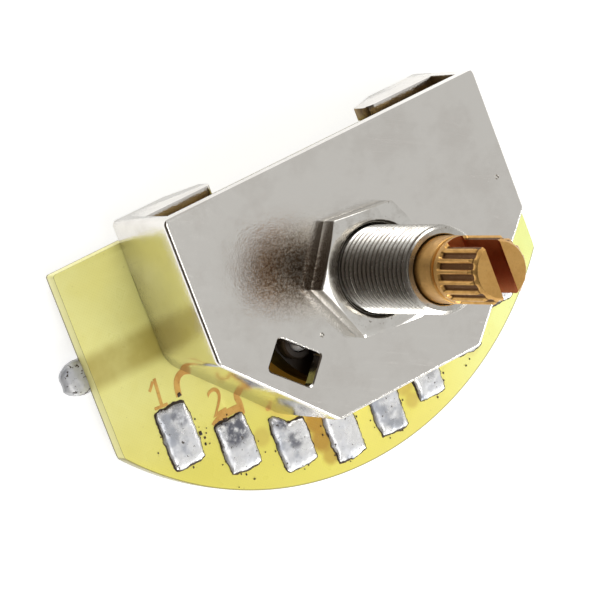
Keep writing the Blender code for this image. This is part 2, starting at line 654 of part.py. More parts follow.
def build_wiper(name, track_radius, touch, mat):
    """A stamped carrier on two stakes, with a pair of fingers on one track."""
    start = touch + FINGER_SWEEP * FINGER_TOUCH
    half_pair = 0.5 * (FINGER_SPACING + FINGER_WIDTH)
    inner = min(STAKE_ORBIT - CARRIER_LAND, track_radius - half_pair)
    outer = max(STAKE_ORBIT + CARRIER_LAND, track_radius + half_pair)
    carrier = sector(inner, outer, start - CARRIER_START, start + CARRIER_SWEEP, WIPER_TOP - WIPER_SHEET,
                     WIPER_TOP)
    wiper = make_object(name, carrier)
    fingers = [finger(track_radius + side * 0.5 * FINGER_SPACING, touch) for side in (-1, 1)]
    combine(wiper, fingers, 'UNION')
    holes = []
    for x, y in stake_places():
        radius = STAKE_RADIUS + STAKE_SLIP
        hole = turned([(0, WIPER_TOP - PAST), (radius, WIPER_TOP - PAST), (radius, WIPER_TOP + PAST),
                       (0, WIPER_TOP + PAST)], 16)
        hole.transform(Matrix.Translation((x, y, 0)))
        holes.append(hole)
    combine(wiper, holes, 'DIFFERENCE')
    return finish(wiper, mat)


def build_clip(mat):
    """A retaining ring that is open on one side and sits in the shaft's groove."""
    half = 0.5 * CLIP_MOUTH
    ring = sector(CLIP_GROOVE_RADIUS + SLIP_GAP, CLIP_RADIUS, half, 360 - half, CLIP_REAR + SEAT_GAP,
                  CLIP_FRONT - SEAT_GAP)
    return make_object("retaining_ring", ring, mat)


def board_outline():
    """Straight top and sides, and a long arc along the bottom."""
    rise = BOARD_SIDE_END - BOARD_BOTTOM
    radius = (BOARD_HALF_WIDTH ** 2 + rise ** 2) / (2 * rise)
    centre_y = BOARD_BOTTOM + radius
    end = atan2(BOARD_SIDE_END - centre_y, BOARD_HALF_WIDTH)
    steps = 36
    bottom = []
    for k in range(1, steps):
        angle = pi - end + (2 * end + pi) * k / steps
        bottom.append((BOARD_SHIFT + radius * cos(angle), centre_y + radius * sin(angle), 0.001))
    right, left = BOARD_SHIFT + BOARD_HALF_WIDTH, BOARD_SHIFT - BOARD_HALF_WIDTH
    corners = [(right, BOARD_TOP, 0.3), (left, BOARD_TOP, 0.3), (left, BOARD_SIDE_END, BOARD_CORNER)]
    corners += bottom + [(right, BOARD_SIDE_END, BOARD_CORNER)]
    points = []
    for i, corner in enumerate(corners):
        if corner[2] > 0.01:
            around = [corners[i - 1], corner, corners[(i + 1) % len(corners)]]
            points += rounded_outline(around, 4)[5:10]
        else:
            points.append(corner[:2])
    return points


def build_board(mat):
    board = make_object("circuit_board", plate(board_outline(), BOARD_BACK, BOARD_FRONT))
    sleeve = BEARING_SLEEVE_RADIUS + SLIP_GAP
    low, high = BOARD_BACK - PAST, BOARD_FRONT + PAST
    hole = turned([(0, low), (sleeve, low), (sleeve, high), (0, high)], 48)
    slots = [tab_shape(*place, SLIP_GAP, low, high) for place in rim_tabs()]
    combine(board, [hole] + slots, 'DIFFERENCE')
    return finish(board, mat)


def cup_edge(x):
    """The cup's lowest point above or below the axis at a place along X."""
    share = (abs(x) - BOTTOM_HALF_WIDTH) / (PLATE_HALF_WIDTH - BOTTOM_HALF_WIDTH)
    return -PLATE_BOTTOM + (PLATE_BOTTOM - SIDE_END) * min(1.0, max(0.0, share))


def build_pad(index, mat):
    """A tinned pad: a rounded patch with a domed top. Pads are numbered from the left."""
    low, high = PAD_SPANS[min(index, PAD_COUNT - 1 - index)]
    middle = BOARD_SHIFT + PAD_SHIFT + (index - 0.5 * (PAD_COUNT - 1)) * PAD_PITCH
    left, right = middle - 0.5 * PAD_WIDTH, middle + 0.5 * PAD_WIDTH
    left_high = min(high, cup_edge(left) - PAD_TO_CUP)
    right_high = min(high, cup_edge(right) - PAD_TO_CUP)
    rings = []
    for inset, share in PAD_LEVELS:
        corner = max(PAD_LEAST_CORNER, PAD_CORNER - inset)
        x0, x1 = left + inset, right - inset
        outline = rounded_outline([(x1, right_high - inset, corner), (x0, left_high - inset, corner),
                                   (x0, low + inset, corner), (x1, low + inset, corner)], 4)
        rings.append([(x, y, TRACK_BASE + PAD_HEIGHT * share) for x, y in outline])
    return make_object("solder_pad_%d" % (index + 1), loft(rings), mat, ROUND_SMOOTHING)


def build_tracks(mat):
    """Copper on the board's front: one common ring piece and a contact for each position."""
    half = 0.5 * TRACK_WIDTH
    common = sector(INNER_TRACK_RADIUS - half, INNER_TRACK_RADIUS + half, -0.5 * COMMON_SWEEP,
                    0.5 * COMMON_SWEEP, TRACK_BASE, TRACK_TOP)
    make_object("common_track", common, mat)
    for k in range(POSITIONS):
        middle = outer_touch() + FIRST_POSITION + POSITION_STEP * k
        piece = sector(OUTER_TRACK_RADIUS - half, OUTER_TRACK_RADIUS + half, middle - 0.5 * CONTACT_SWEEP,
                       middle + 0.5 * CONTACT_SWEEP, TRACK_BASE, TRACK_TOP)
        make_object("contact_track_%d" % (k + 1), piece, mat)


def build_lug(mat):
    """A tinned strip behind the board, with an eye round the rear bearing and a round solder end."""
    half = 0.5 * LUG_WIDTH
    tip = [(LUG_TIP + half + half * cos(a), LUG_Y + half * sin(a))
           for a in [0.5 * pi + pi * k / 12 for k in range(13)]]
    root = LUG_EYE_RADIUS * 0.7
    low, high = LUG_FRONT - LUG_THICKNESS, LUG_FRONT
    strip = plate([(-root, LUG_Y + half)] + tip + [(-root, LUG_Y - half)], low, high)
    lug = make_object("ground_lug", strip)
    combine(lug, [turned([(0, low), (LUG_EYE_RADIUS, low), (LUG_EYE_RADIUS, high), (0, high)], 48)], 'UNION')
    hole = BEARING_SLEEVE_RADIUS + SLIP_GAP
    bore = turned([(0, low - PAST), (hole, low - PAST), (hole, high + PAST), (0, high + PAST)], 48)
    combine(lug, [bore], 'DIFFERENCE')
    return finish(lug, mat)


def build_bearing(mat):
    """A flanged cup riveted through the board, closed at the rear, that carries the shaft's tail."""
    bore = TAIL_RADIUS + 0.6 * RUN_GAP
    top = BOARD_FRONT + BEARING_PROUD
    inside = REAR + BEARING_FLOOR
    profile = [(0, REAR), (BEARING_FLANGE_RADIUS - EDGE_BREAK, REAR),
               (BEARING_FLANGE_RADIUS, REAR + EDGE_BREAK), (BEARING_FLANGE_RADIUS, FLANGE_FRONT),
               (BEARING_SLEEVE_RADIUS, FLANGE_FRONT), (BEARING_SLEEVE_RADIUS, top), (bore, top),
               (bore, inside), (0, inside)]
    return make_object("rear_bearing", turned(profile, 48), mat)


def main():
    for obj in list(bpy.data.objects):
        bpy.data.objects.remove(obj)
    nickel = material("nickel_plate", (0.66, 0.64, 0.60), 0.28, 1.0)
    bushing_nickel = material("turned_nickel", (0.62, 0.60, 0.56), 0.3, 1.0)
    brass = material("brass", (0.78, 0.52, 0.22), 0.32, 1.0)
    black = material("black_moulding", (0.02, 0.02, 0.02), 0.5)
    steel = material("bright_steel", (0.8, 0.8, 0.8), 0.15, 1.0)
    bronze = material("spring_bronze", (0.75, 0.72, 0.66), 0.3, 1.0)
    copper = material("copper", (0.76, 0.42, 0.2), 0.35, 1.0)
    board = material("board_glass_epoxy", (0.72, 0.70, 0.25), 0.35, 0.0, 0.85)
    solder = material("solder", (0.75, 0.76, 0.78), 0.35, 1.0)

    build_cup(nickel)
    build_bushing(bushing_nickel)
    build_nut(bushing_nickel)
    build_shaft(brass)
    build_rotor(black)
    build_ball(steel)
    build_spring(steel)
    build_wiper("inner_wiper", INNER_TRACK_RADIUS, outer_touch() + 180, bronze)
    build_wiper("outer_wiper", OUTER_TRACK_RADIUS, outer_touch(), bronze)
    build_clip(steel)
    build_board(board)
    build_tracks(copper)
    build_lug(solder)
    build_bearing(brass)
    for index in range(PAD_COUNT):
        build_pad(index, solder)

    turning = bpy.data.objects.new("shaft_axis", None)
    bpy.context.collection.objects.link(turning)
    turning.location = (0, 0, PANEL_Z * MM)
    moving = {"shaft", "rotor", "detent_ball", "detent_spring", "inner_wiper", "outer_wiper",
              "retaining_ring"}
    for obj in bpy.data.objects:
        if obj.type != 'MESH':
            continue
        if obj.name in moving:
            obj.parent = turning
        else:
            obj.location = (0, 0, PANEL_Z * MM)


main()
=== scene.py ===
# %% [markdown]
# # A rotary selector switch, dressed for its photograph
# The switch is a folded nickel cup on a translucent circuit board. A threaded bushing and a nut hold
# it to a panel, and a brass shaft with splines and a slot turns a rotor inside. The solids are already
# made and packed, and they say where everything goes and what turns. This notebook gives them the
# surface that the eye expects: rolled edges, a real thread, lumpy solder, copper under resin.

# %% Load the frame
from math import atan2, cos, degrees, hypot, pi, radians, sin, tan, tau

import bmesh
import bpy
from mathutils import Matrix, Vector, noise


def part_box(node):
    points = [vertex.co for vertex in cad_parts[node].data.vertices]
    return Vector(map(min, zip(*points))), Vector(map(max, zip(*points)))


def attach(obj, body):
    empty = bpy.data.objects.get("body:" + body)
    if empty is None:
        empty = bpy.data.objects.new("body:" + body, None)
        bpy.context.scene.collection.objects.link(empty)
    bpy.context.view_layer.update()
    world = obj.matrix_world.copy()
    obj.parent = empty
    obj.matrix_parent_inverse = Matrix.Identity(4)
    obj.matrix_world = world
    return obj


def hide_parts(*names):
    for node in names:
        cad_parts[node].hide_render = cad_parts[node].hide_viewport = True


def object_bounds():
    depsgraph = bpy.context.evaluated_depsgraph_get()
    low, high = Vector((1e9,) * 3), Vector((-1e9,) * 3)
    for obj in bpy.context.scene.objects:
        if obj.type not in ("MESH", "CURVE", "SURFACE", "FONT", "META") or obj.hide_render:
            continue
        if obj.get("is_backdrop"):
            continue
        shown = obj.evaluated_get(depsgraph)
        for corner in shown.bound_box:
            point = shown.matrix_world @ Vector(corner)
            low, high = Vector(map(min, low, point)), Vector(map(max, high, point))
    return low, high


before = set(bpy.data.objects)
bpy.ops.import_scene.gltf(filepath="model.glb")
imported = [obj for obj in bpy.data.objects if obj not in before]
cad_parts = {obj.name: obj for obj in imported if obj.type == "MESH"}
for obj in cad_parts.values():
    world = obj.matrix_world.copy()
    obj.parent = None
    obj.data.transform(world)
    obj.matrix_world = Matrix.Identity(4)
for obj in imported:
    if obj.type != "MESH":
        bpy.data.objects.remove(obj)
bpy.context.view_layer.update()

MM = 0.001

# %% [markdown]
# ## Camera
# The photograph was taken from the upper left with a long lens, looking down on the plate at about
# sixty degrees. The camera's three directions are written as vectors, which is easier to check than
# three angles, and a matrix turns them into the camera's rotation.

# %% Place the camera
CAMERA_PLACE = Vector((-0.18402, 0.08321, 0.35512))
CAMERA_RIGHT = Vector((0.7965, -0.3492, 0.4937))
CAMERA_LOOK = Vector((0.4473, -0.2091, -0.8696))
CAMERA_LENS = 268.4
SENSOR_WIDTH = 36.0

scene = bpy.context.scene


def set_up(thing, **settings):
    """Set some attributes of a thing and give it back."""
    for name, value in settings.items():
        setattr(thing, name, value)
    return thing


def new_object(name, data):
    made = bpy.data.objects.new(name, data)
    scene.collection.objects.link(made)
    return made


camera_data = set_up(bpy.data.cameras.new("studio_camera"), lens=CAMERA_LENS, sensor_width=SENSOR_WIDTH,
                     sensor_fit='HORIZONTAL', clip_start=0.01, clip_end=10.0)
camera = new_object("studio_camera", camera_data)
look = CAMERA_LOOK.normalized()
right = (CAMERA_RIGHT - look * CAMERA_RIGHT.dot(look)).normalized()
up = right.cross(look)
camera.matrix_world = Matrix.Translation(CAMERA_PLACE) @ Matrix((right, up, -look)).transposed().to_4x4()
scene.camera = camera
print("camera elevation:", round(degrees(atan2(-look.z, hypot(look.x, look.y))), 1))

# %% [markdown]
# ## Studio
# Polished nickel shows its surroundings more than its own colour, so the room matters. The room is
# a soft grey dome with a dark, warm cap on the left, where the photographer stands. The plate mirrors
# the shaft against that cap, and the cap draws the dark bands on the nut and the thread. One broad
# lamp stands behind the switch, two stand in front of it and a weak one hangs above. The paper glows
# a little as well, which makes it white.

# %% Build the dome, the lamps and the floor
DOME_GREY = 0.62
DOME_DARK = 0.08
DOME_COLOUR = (1.0, 0.995, 0.985)
CAP_COLOUR = (1.0, 0.80, 0.62)
DARK_SIDE = Vector((-0.78, 0.20, 0.59)).normalized()
DARK_FROM = 0.65
DARK_TO = 0.77
# name, place, width and watts
LAMPS = (("back_lamp", (0.35, 0.95, 0.55), 0.7, 4.5), ("right_lamp", (0.75, -0.75, 0.4), 0.5, 5.0),
         ("front_lamp", (-0.1, -1.0, 0.5), 0.5, 5.0), ("top_lamp", (-0.14, -0.2, 1.1), 0.55, 1.3))
PAPER = {"Base Color": (0.45, 0.45, 0.45), "Roughness": 0.9, "Specular IOR Level": 0.1,
         "Emission Color": (1.0, 1.0, 1.0), "Emission Strength": 0.78}

scene.view_settings.view_transform = 'Standard'


def plug(tree, socket, value):
    """Give a socket a number, a colour or another node's output."""
    if isinstance(value, bpy.types.NodeSocket):
        tree.links.new(value, socket)
    elif socket.type == 'RGBA':
        socket.default_value = (*value, 1.0)
    else:
        socket.default_value = value


def add_node(tree, kind, inputs=(), **settings):
    """A node with its settings, and a value or another node's output for some of its inputs."""
    node = set_up(tree.nodes.new(kind), **settings)
    for name, value in dict(inputs).items():
        plug(tree, node.inputs[name], value)
    return node


def math_node(tree, operation, *values):
    return add_node(tree, 'ShaderNodeMath', enumerate(values), operation=operation).outputs["Value"]


def mix_colour(tree, mask, first, second):
    """Blend two colours. Sockets 6 and 7 of a mix node are its colours, and output 2 is their mix."""
    return add_node(tree, 'ShaderNodeMix', {0: mask, 6: first, 7: second}, data_type='RGBA').outputs[2]


def build_dome():
    world = bpy.data.worlds.new("studio_dome")
    scene.world = world
    world.use_nodes = True
    tree = world.node_tree
    place = add_node(tree, 'ShaderNodeTexCoord').outputs["Generated"]
    facing = add_node(tree, 'ShaderNodeVectorMath', {0: place, 1: DARK_SIDE}, operation='DOT_PRODUCT')
    fade = add_node(tree, 'ShaderNodeMapRange',
                    {"Value": facing.outputs["Value"], "From Min": DARK_FROM, "From Max": DARK_TO,
                     "To Min": DOME_GREY, "To Max": DOME_DARK}, interpolation_type='SMOOTHSTEP')
    strength = fade.outputs["Result"]
    share = math_node(tree, 'DIVIDE', strength, DOME_GREY)
    background = tree.nodes["Background"]
    plug(tree, background.inputs["Strength"], strength)
    plug(tree, background.inputs["Color"], mix_colour(tree, share, CAP_COLOUR, DOME_COLOUR))


def add_lamp(name, place, size, watts):
    lamp = set_up(bpy.data.lights.new(name, 'AREA'), shape='DISK', size=size, energy=watts)
    set_up(new_object(name, lamp), location=place,
           rotation_euler=(-Vector(place)).to_track_quat('-Z', 'Y').to_euler())


build_dome()
for lamp in LAMPS:
    add_lamp(*lamp)
bpy.ops.object.select_all(action='DESELECT')
bpy.ops.mesh.primitive_plane_add(size=3.0, location=(0.0, 0.0, -0.00002))
floor = bpy.context.object
floor.name = "floor"
paper = bpy.data.materials.new("pale_paper")
paper.use_nodes = True
for name, value in PAPER.items():
    plug(paper.node_tree, paper.node_tree.nodes["Principled BSDF"].inputs[name], value)
floor.data.materials.append(paper)
floor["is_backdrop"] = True

# %% [markdown]
# ## Tools of the bench
# Every piece is made the same way: add a primitive, pick some faces or edges by their place, and use
# an edit-mode tool on them. These helpers only add, pick, apply and put down. They keep the steps
# below as short as the sentences that describe them.

# %% Helpers for modelling


def leave():
    bpy.ops.object.mode_set(mode='OBJECT')


def clear_choice():
    """Go to object mode with nothing selected."""
    if bpy.context.object and bpy.context.object.mode != 'OBJECT':
        leave()
    bpy.ops.object.select_all(action='DESELECT')


def activate(piece):
    """Make one object the only selected one, in object mode."""
    clear_choice()
    piece.select_set(True)
    bpy.context.view_layer.objects.active = piece


def settle():
    bpy.ops.object.transform_apply(location=True, rotation=True, scale=True)


def fresh(add, stretch=(1.0, 1.0, 1.0), turn=0.0, **values):
    """Add a primitive as the only selected piece, stretch and turn it, and apply its place."""
    clear_choice()
    add(**values)
    piece = bpy.context.object
    piece.scale = stretch
    piece.rotation_euler.z = turn
    settle()
    return piece


def middle_of(part):
    return sum((v.co for v in part.verts), Vector()) / len(part.verts)


def near(value, target, slack=0.00002):
    return abs(value - target) < slack


def lies_at(part, axis, value):
    """Whether all vertices of an edge or a face have one value on an axis."""
    return all(near(vert.co['xyz'.index(axis)], value) for vert in part.verts)


def rise_of(edge):
    return abs(edge.verts[0].co.z - edge.verts[1].co.z)


def pick(piece, kind, test):
    """Enter edit mode and select the vertices, edges or faces that pass a test."""
    activate(piece)
    bpy.ops.object.mode_set(mode='EDIT')
    bpy.ops.mesh.select_mode(type=kind)
    bpy.ops.mesh.select_all(action='DESELECT')
    shape = bmesh.from_edit_mesh(piece.data)
    for part in {'VERT': shape.verts, 'EDGE': shape.edges, 'FACE': shape.faces}[kind]:
        if test(part):
            part.select_set(True)
    shape.select_flush_mode()
    bmesh.update_edit_mesh(piece.data)


def pick_all(piece):
    pick(piece, 'VERT', lambda vert: True)


def extrude(x, y, z):
    bpy.ops.mesh.extrude_region_move(TRANSFORM_OT_translate={"value": (x, y, z)})


def widen(across, height=0.0, along=None):
    """Scale what is selected about the axis of the shaft."""
    bpy.ops.transform.resize(value=(across, along or across, 1.0), center_override=(0.0, 0.0, height))


def bevel(piece, kind, test, width, segments):
    """Round the corners or the edges that pass a test."""
    pick(piece, kind, test)
    bpy.ops.mesh.bevel(offset=width, segments=segments, affect='VERTICES' if kind == 'VERT' else 'EDGES')
    leave()


def modify(piece, kind, **settings):
    """Give a piece a modifier and apply it."""
    activate(piece)
    step = set_up(piece.modifiers.new(kind, kind), **settings)
    bpy.ops.object.modifier_apply(modifier=step.name)


def boolean(piece, tool, operation='DIFFERENCE'):
    """Join, cut or meet with another solid, which is used up."""
    modify(piece, 'BOOLEAN', operation=operation, solver='EXACT', object=tool)
    bpy.data.objects.remove(tool)


def soften(piece, width, angle=35.0):
    """Round every sharp edge a little, as a press or a lathe leaves it."""
    modify(piece, 'BEVEL', width=width, segments=2, limit_method='ANGLE', angle_limit=radians(angle),
           use_clamp_overlap=False)


def saw(piece, place, outward, fill=True):
    """Cut the whole piece along a plane and drop what lies on the outward side."""
    pick_all(piece)
    bpy.ops.mesh.bisect(plane_co=place, plane_no=Vector(outward).normalized(), clear_outer=True,
                        use_fill=fill, threshold=0.0000005)
    leave()


def make_solid(piece):
    """Merge doubles and turn all faces outward."""
    pick_all(piece)
    bpy.ops.mesh.remove_doubles(threshold=0.000001)
    bpy.ops.mesh.normals_make_consistent(inside=False)
    leave()
    return piece


def open_edges(piece):
    """How many edges don't join exactly two faces. A sound solid has none."""
    shape = bmesh.new()
    shape.from_mesh(piece.data)
    count = sum(1 for edge in shape.edges if len(edge.link_faces) != 2)
    shape.free()
    return count


def put_down(piece, name, body, material, smooth=30.0, stands_for=()):
    """Apply the piece's place, smooth it, and say what it is, what it rides on and what it replaces."""
    activate(piece)
    settle()
    bpy.ops.object.shade_smooth_by_angle(angle=radians(smooth))
    piece.name = name
    piece.data.name = name
    piece.data.materials.clear()
    piece.data.materials.append(material)
    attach(piece, body)
    if stands_for:
        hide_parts(*stands_for)
    print(name, "faces:", len(piece.data.polygons), "open edges:", open_edges(piece))


def block(x0, x1, y0, y1, z0, z1):
    """A box between two corners, as a start or a cutter."""
    return fresh(bpy.ops.mesh.primitive_cube_add, stretch=(x1 - x0, y1 - y0, z1 - z0), size=1.0,
                 location=((x0 + x1) / 2, (y0 + y1) / 2, (z0 + z1) / 2))


def centred_block(wide, tall, z0, z1):
    return block(-wide / 2, wide / 2, -tall / 2, tall / 2, z0, z1)


def draw_profile(points):
    """Extrude one vertex through (radius, height) points, and stay in edit mode."""
    piece = fresh(bpy.ops.mesh.primitive_plane_add, size=0.001, location=(points[0][0], 0.0, points[0][1]))
    pick_all(piece)
    bpy.ops.mesh.merge(type='CENTER')
    for (r0, z0), (r1, z1) in zip(points, points[1:]):
        extrude(r1 - r0, 0.0, z1 - z0)
    return piece


def lathe(points, steps=96):
    """Draw a profile and spin it round Z."""
    piece = draw_profile(points)
    bpy.ops.mesh.select_all(action='SELECT')
    bpy.ops.mesh.spin(steps=steps, angle=tau, center=(0.0, 0.0, 0.0), axis=(0.0, 0.0, 1.0))
    leave()
    return make_solid(piece)


def rod(radius, low, high, steps=64):
    return lathe([(0.0, low), (radius, low), (radius, high), (0.0, high)], steps)


def turned_about(piece, x, y, angle=0.0):
    """Turn a finished piece about Z and move it to its place."""
    activate(piece)
    piece.matrix_world = Matrix.Translation((x, y, 0.0)) @ Matrix.Rotation(angle, 4, 'Z')
    settle()
    return piece


def join_all(pieces):
    activate(pieces[0])
    for piece in pieces[1:]:
        piece.select_set(True)
    bpy.ops.object.join()
    return pieces[0]


print("helpers are ready")

# %% [markdown]
# ## Shared surface effects
# No real metal is even. Four small node groups carry what several finishes share: patches of tarnish,
# fine scratches, the grain that plating or casting leaves, and a round spot at a place of the front.
# Each gives out a mask or a height and leaves the shader to the material, so one group serves nickel,
# brass, solder and resin.

# %% Build the node groups
SCRATCH_TURN = radians(28.0)


def object_vector(tree):
    return add_node(tree, 'ShaderNodeTexCoord').outputs["Object"]


def object_place(tree):
    """The three object coordinates as separate values."""
    parts = add_node(tree, 'ShaderNodeSeparateXYZ', {"Vector": object_vector(tree)}).outputs
    return parts["X"], parts["Y"], parts["Z"]


def noise_node(tree, place, scale, **values):
    values.update(Vector=place, Scale=scale)
    return add_node(tree, 'ShaderNodeTexNoise', values).outputs["Fac"]


def band(tree, value, start, end):
    """A mask that rises from 0 to 1 as a value goes from start to end."""
    return add_node(tree, 'ShaderNodeMapRange', {"Value": value, "From Min": start, "From Max": end},
                    interpolation_type='SMOOTHSTEP').outputs["Result"]


def new_group(name, inputs, output):
    group = bpy.data.node_groups.new(name, 'ShaderNodeTree')
    for socket, value in inputs.items():
        made = group.interface.new_socket(name=socket, in_out='INPUT', socket_type='NodeSocketFloat')
        made.default_value = value
    group.interface.new_socket(name=output, in_out='OUTPUT', socket_type='NodeSocketFloat')
    return group, group.nodes.new('NodeGroupInput').outputs, group.nodes.new('NodeGroupOutput').inputs


def group_patches():
    """Soft patches: noise between two thresholds."""
    group, source, result = new_group("patches", {"Scale": 400.0, "Low": 0.4, "High": 0.65}, "Mask")
    cloud = noise_node(group, object_vector(group), source["Scale"], Detail=4.0, Roughness=0.6)
    plug(group, result["Mask"], band(group, cloud, source["Low"], source["High"]))
    return group


def group_scratches():
    """Fine lines: noise that is stretched a long way in one direction and cut near its middle."""
    group, source, result = new_group("scratches", {"Scale": 900.0, "Stretch": 0.05, "Width": 0.02}, "Mask")
    turned = add_node(group, 'ShaderNodeVectorRotate', {"Vector": object_vector(group), "Angle": SCRATCH_TURN},
                      rotation_type='Z_AXIS').outputs["Vector"]
    parts = add_node(group, 'ShaderNodeSeparateXYZ', {"Vector": turned}).outputs
    squeezed = math_node(group, 'MULTIPLY', parts["X"], source["Stretch"])
    joined = add_node(group, 'ShaderNodeCombineXYZ', {"X": squeezed, "Y": parts["Y"], "Z": parts["Z"]})
    cloud = noise_node(group, joined.outputs["Vector"], source["Scale"], Detail=2.0)
    size = math_node(group, 'ABSOLUTE', math_node(group, 'SUBTRACT', cloud, 0.5))
    line = add_node(group, 'ShaderNodeMapRange', {"Value": size, "From Max": source["Width"],
                                                  "To Min": 1.0, "To Max": 0.0})
    plug(group, result["Mask"], line.outputs["Result"])
    return group


def group_grain():
    """Fine relief: two sizes of noise added together."""
    group, source, result = new_group("grain", {"Scale": 3000.0, "Coarse": 0.2}, "Height")
    place = object_vector(group)
    fine = noise_node(group, place, source["Scale"], Detail=3.0, Roughness=0.55)
    share = math_node(group, 'MULTIPLY', source["Scale"], source["Coarse"])
    wide = noise_node(group, place, share, Detail=1.0)
    plug(group, result["Height"], math_node(group, 'ADD', fine, wide))
    return group


def group_spot():
    """A round or oval place, seen along Z: zero at its rim, and one from a share of its radius inward."""
    inputs = {"X": 0.0, "Y": 0.0, "Wide": 0.005, "Tall": 0.005, "Full": 0.45}
    group, source, result = new_group("spot", inputs, "Mask")
    x, y, z = object_place(group)
    far = 0.0
    for value, middle, radius in ((x, "X", "Wide"), (y, "Y", "Tall")):
        aside = math_node(group, 'DIVIDE', math_node(group, 'SUBTRACT', value, source[middle]), source[radius])
        far = math_node(group, 'MULTIPLY_ADD', aside, aside, far)
    plug(group, result["Mask"], band(group, math_node(group, 'SQRT', far), 1.0, source["Full"]))
    return group


PATCHES = group_patches()
SCRATCHES = group_scratches()
GRAIN = group_grain()
SPOT = group_spot()
SPOT_FULL = 0.45


class Look:
    """A material in the making. Its methods add nodes to it, and most give back one output."""

    def __init__(self, name, metallic=0.0):
        self.made = bpy.data.materials.new(name)
        self.made.use_nodes = True
        self.tree = self.made.node_tree
        self.feed("Metallic", metallic)

    def feed(self, name, value):
        plug(self.tree, self.tree.nodes["Principled BSDF"].inputs[name], value)

    def place(self, group, **values):
        return add_node(self.tree, 'ShaderNodeGroup', values, node_tree=group).outputs[0]

    def patches(self, scale, low, high):
        return self.place(PATCHES, Scale=scale, Low=low, High=high)

    def scratches(self, scale, stretch, width):
        return self.place(SCRATCHES, Scale=scale, Stretch=stretch, Width=width)

    def grain(self, scale, coarse):
        return self.place(GRAIN, Scale=scale, Coarse=coarse)

    def spot(self, x, y, rim, full=None, tall=None):
        """A mask that is zero at the rim and one from the full radius inward, or an oval one with tall."""
        share = SPOT_FULL if full is None else full / rim
        return self.place(SPOT, X=x, Y=y, Wide=rim, Tall=tall or rim, Full=share)

    def math(self, operation, *values):
        return math_node(self.tree, operation, *values)

    def times(self, product, *factors):
        for factor in factors:
            product = self.math('MULTIPLY', product, factor)
        return product

    def band(self, value, start, end):
        return band(self.tree, value, start, end)

    def between(self, mask, first, second):
        """A value that goes from the first to the second as a mask goes from 0 to 1."""
        return add_node(self.tree, 'ShaderNodeMapRange',
                        {"Value": mask, "To Min": first, "To Max": second}).outputs["Result"]

    def mix(self, mask, first, second):
        return mix_colour(self.tree, mask, first, second)

    def stain(self, colour, places, tint, streak=None):
        """Tint some round places, each with its middle and radius in millimetres and a strength."""
        for x, y, radius, share in places:
            mask = self.times(self.spot(x * MM, y * MM, radius * MM), share)
            colour = self.mix(mask if streak is None else self.times(mask, streak), colour, tint)
        return colour

    def finish(self, colour, roughness, height=None, depth=0.0, strength=1.0):
        self.feed("Base Color", colour)
        self.feed("Roughness", roughness)
        if height is not None:
            bump = add_node(self.tree, 'ShaderNodeBump',
                            {"Height": height, "Distance": depth, "Strength": strength})
            self.feed("Normal", bump.outputs["Normal"])
        return self.made


print("groups:", [group.name for group in bpy.data.node_groups])

# %% [markdown]
# ## Metal finishes
# Nickel is a warm grey mirror with a faint orange peel from the plating bath. A brown patch is painted on
# the plate beside the nut as a painted reflection of the dark bushing and shaft. The bushing and nut are
# turned and duller, and the roots of the thread get painted shade. The brass is bare, and painted shade
# darkens its spline grooves and the walls of its slot. Inside the cup a dark brown copy of the nickel is
# painted shade.

# %% Mix the metals
cup_low, cup_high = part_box("frame_cup")
PLATE_Z = cup_high.z
# painted reflection: place and size of a brown spot on the plate, standing for the dark bushing and shaft
# mirrored in it
REFLECTION_SPOT_AT = (-7.7 * MM, 3.3 * MM)
REFLECTION_SPOT_SIZE = (6.4 * MM, 5.4 * MM)
REFLECTION_SPOT_FULL = 0.25 * REFLECTION_SPOT_SIZE[0]
bushing_low, bushing_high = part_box("threaded_bushing")
# radii where the painted shade in the roots of the thread begins and is full, from outside and from inside
ROOT_SHADE_OUTER = (3.93 * MM, 3.74 * MM)
ROOT_SHADE_INNER = (3.50 * MM, 3.58 * MM)
ROOT_SHADE_END = (bushing_high.z - 0.30 * MM, bushing_high.z - 0.45 * MM)
shaft_low, shaft_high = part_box("shaft")
# radii where painted shade in the spline grooves begins and is full
GROOVE_SHADE_START = 2.86 * MM
GROOVE_SHADE_FULL = 2.72 * MM
SLOT_HALF = 0.8 * MM
SLOT_FLOOR = shaft_high.z - 5.9 * MM
SPLINE_FLOOR = shaft_high.z - 5.75 * MM


def nickel_finish():
    look = Look("nickel_plate", 1.0)
    haze = look.patches(260.0, 0.42, 0.7)
    fleck = look.patches(4800.0, 0.36, 0.62)
    front = look.band(object_place(look.tree)[2], PLATE_Z - 0.05 * MM, PLATE_Z)
    # painted reflection: a brown spot on the front of the plate beside the nut
    painted_reflection = look.times(look.spot(*REFLECTION_SPOT_AT, REFLECTION_SPOT_SIZE[0], REFLECTION_SPOT_FULL, REFLECTION_SPOT_SIZE[1]), front,
                         look.math('MULTIPLY_ADD', fleck, -0.5, 0.98))
    colour = look.mix(haze, (0.82, 0.795, 0.75), (0.75, 0.72, 0.675))
    colour = look.mix(painted_reflection, colour, (0.20, 0.125, 0.07))
    dull = look.math('MULTIPLY_ADD', look.scratches(1500.0, 0.04, 0.012), 0.10, look.times(haze, 0.06))
    return look.finish(colour, look.math('ADD', dull, 0.13), look.grain(5600.0, 0.2), 0.00002, 0.6)


def turned_finish():
    look = Look("turned_nickel", 1.0)
    haze = look.patches(600.0, 0.4, 0.7)
    colour = look.mix(haze, (0.80, 0.78, 0.735), (0.66, 0.635, 0.59))
    colour = look.mix(look.patches(3200.0, 0.62, 0.72), colour, (0.32, 0.29, 0.25))
    return look.finish(colour, look.between(haze, 0.13, 0.24), look.grain(4200.0, 0.3), 0.00001, 0.4)


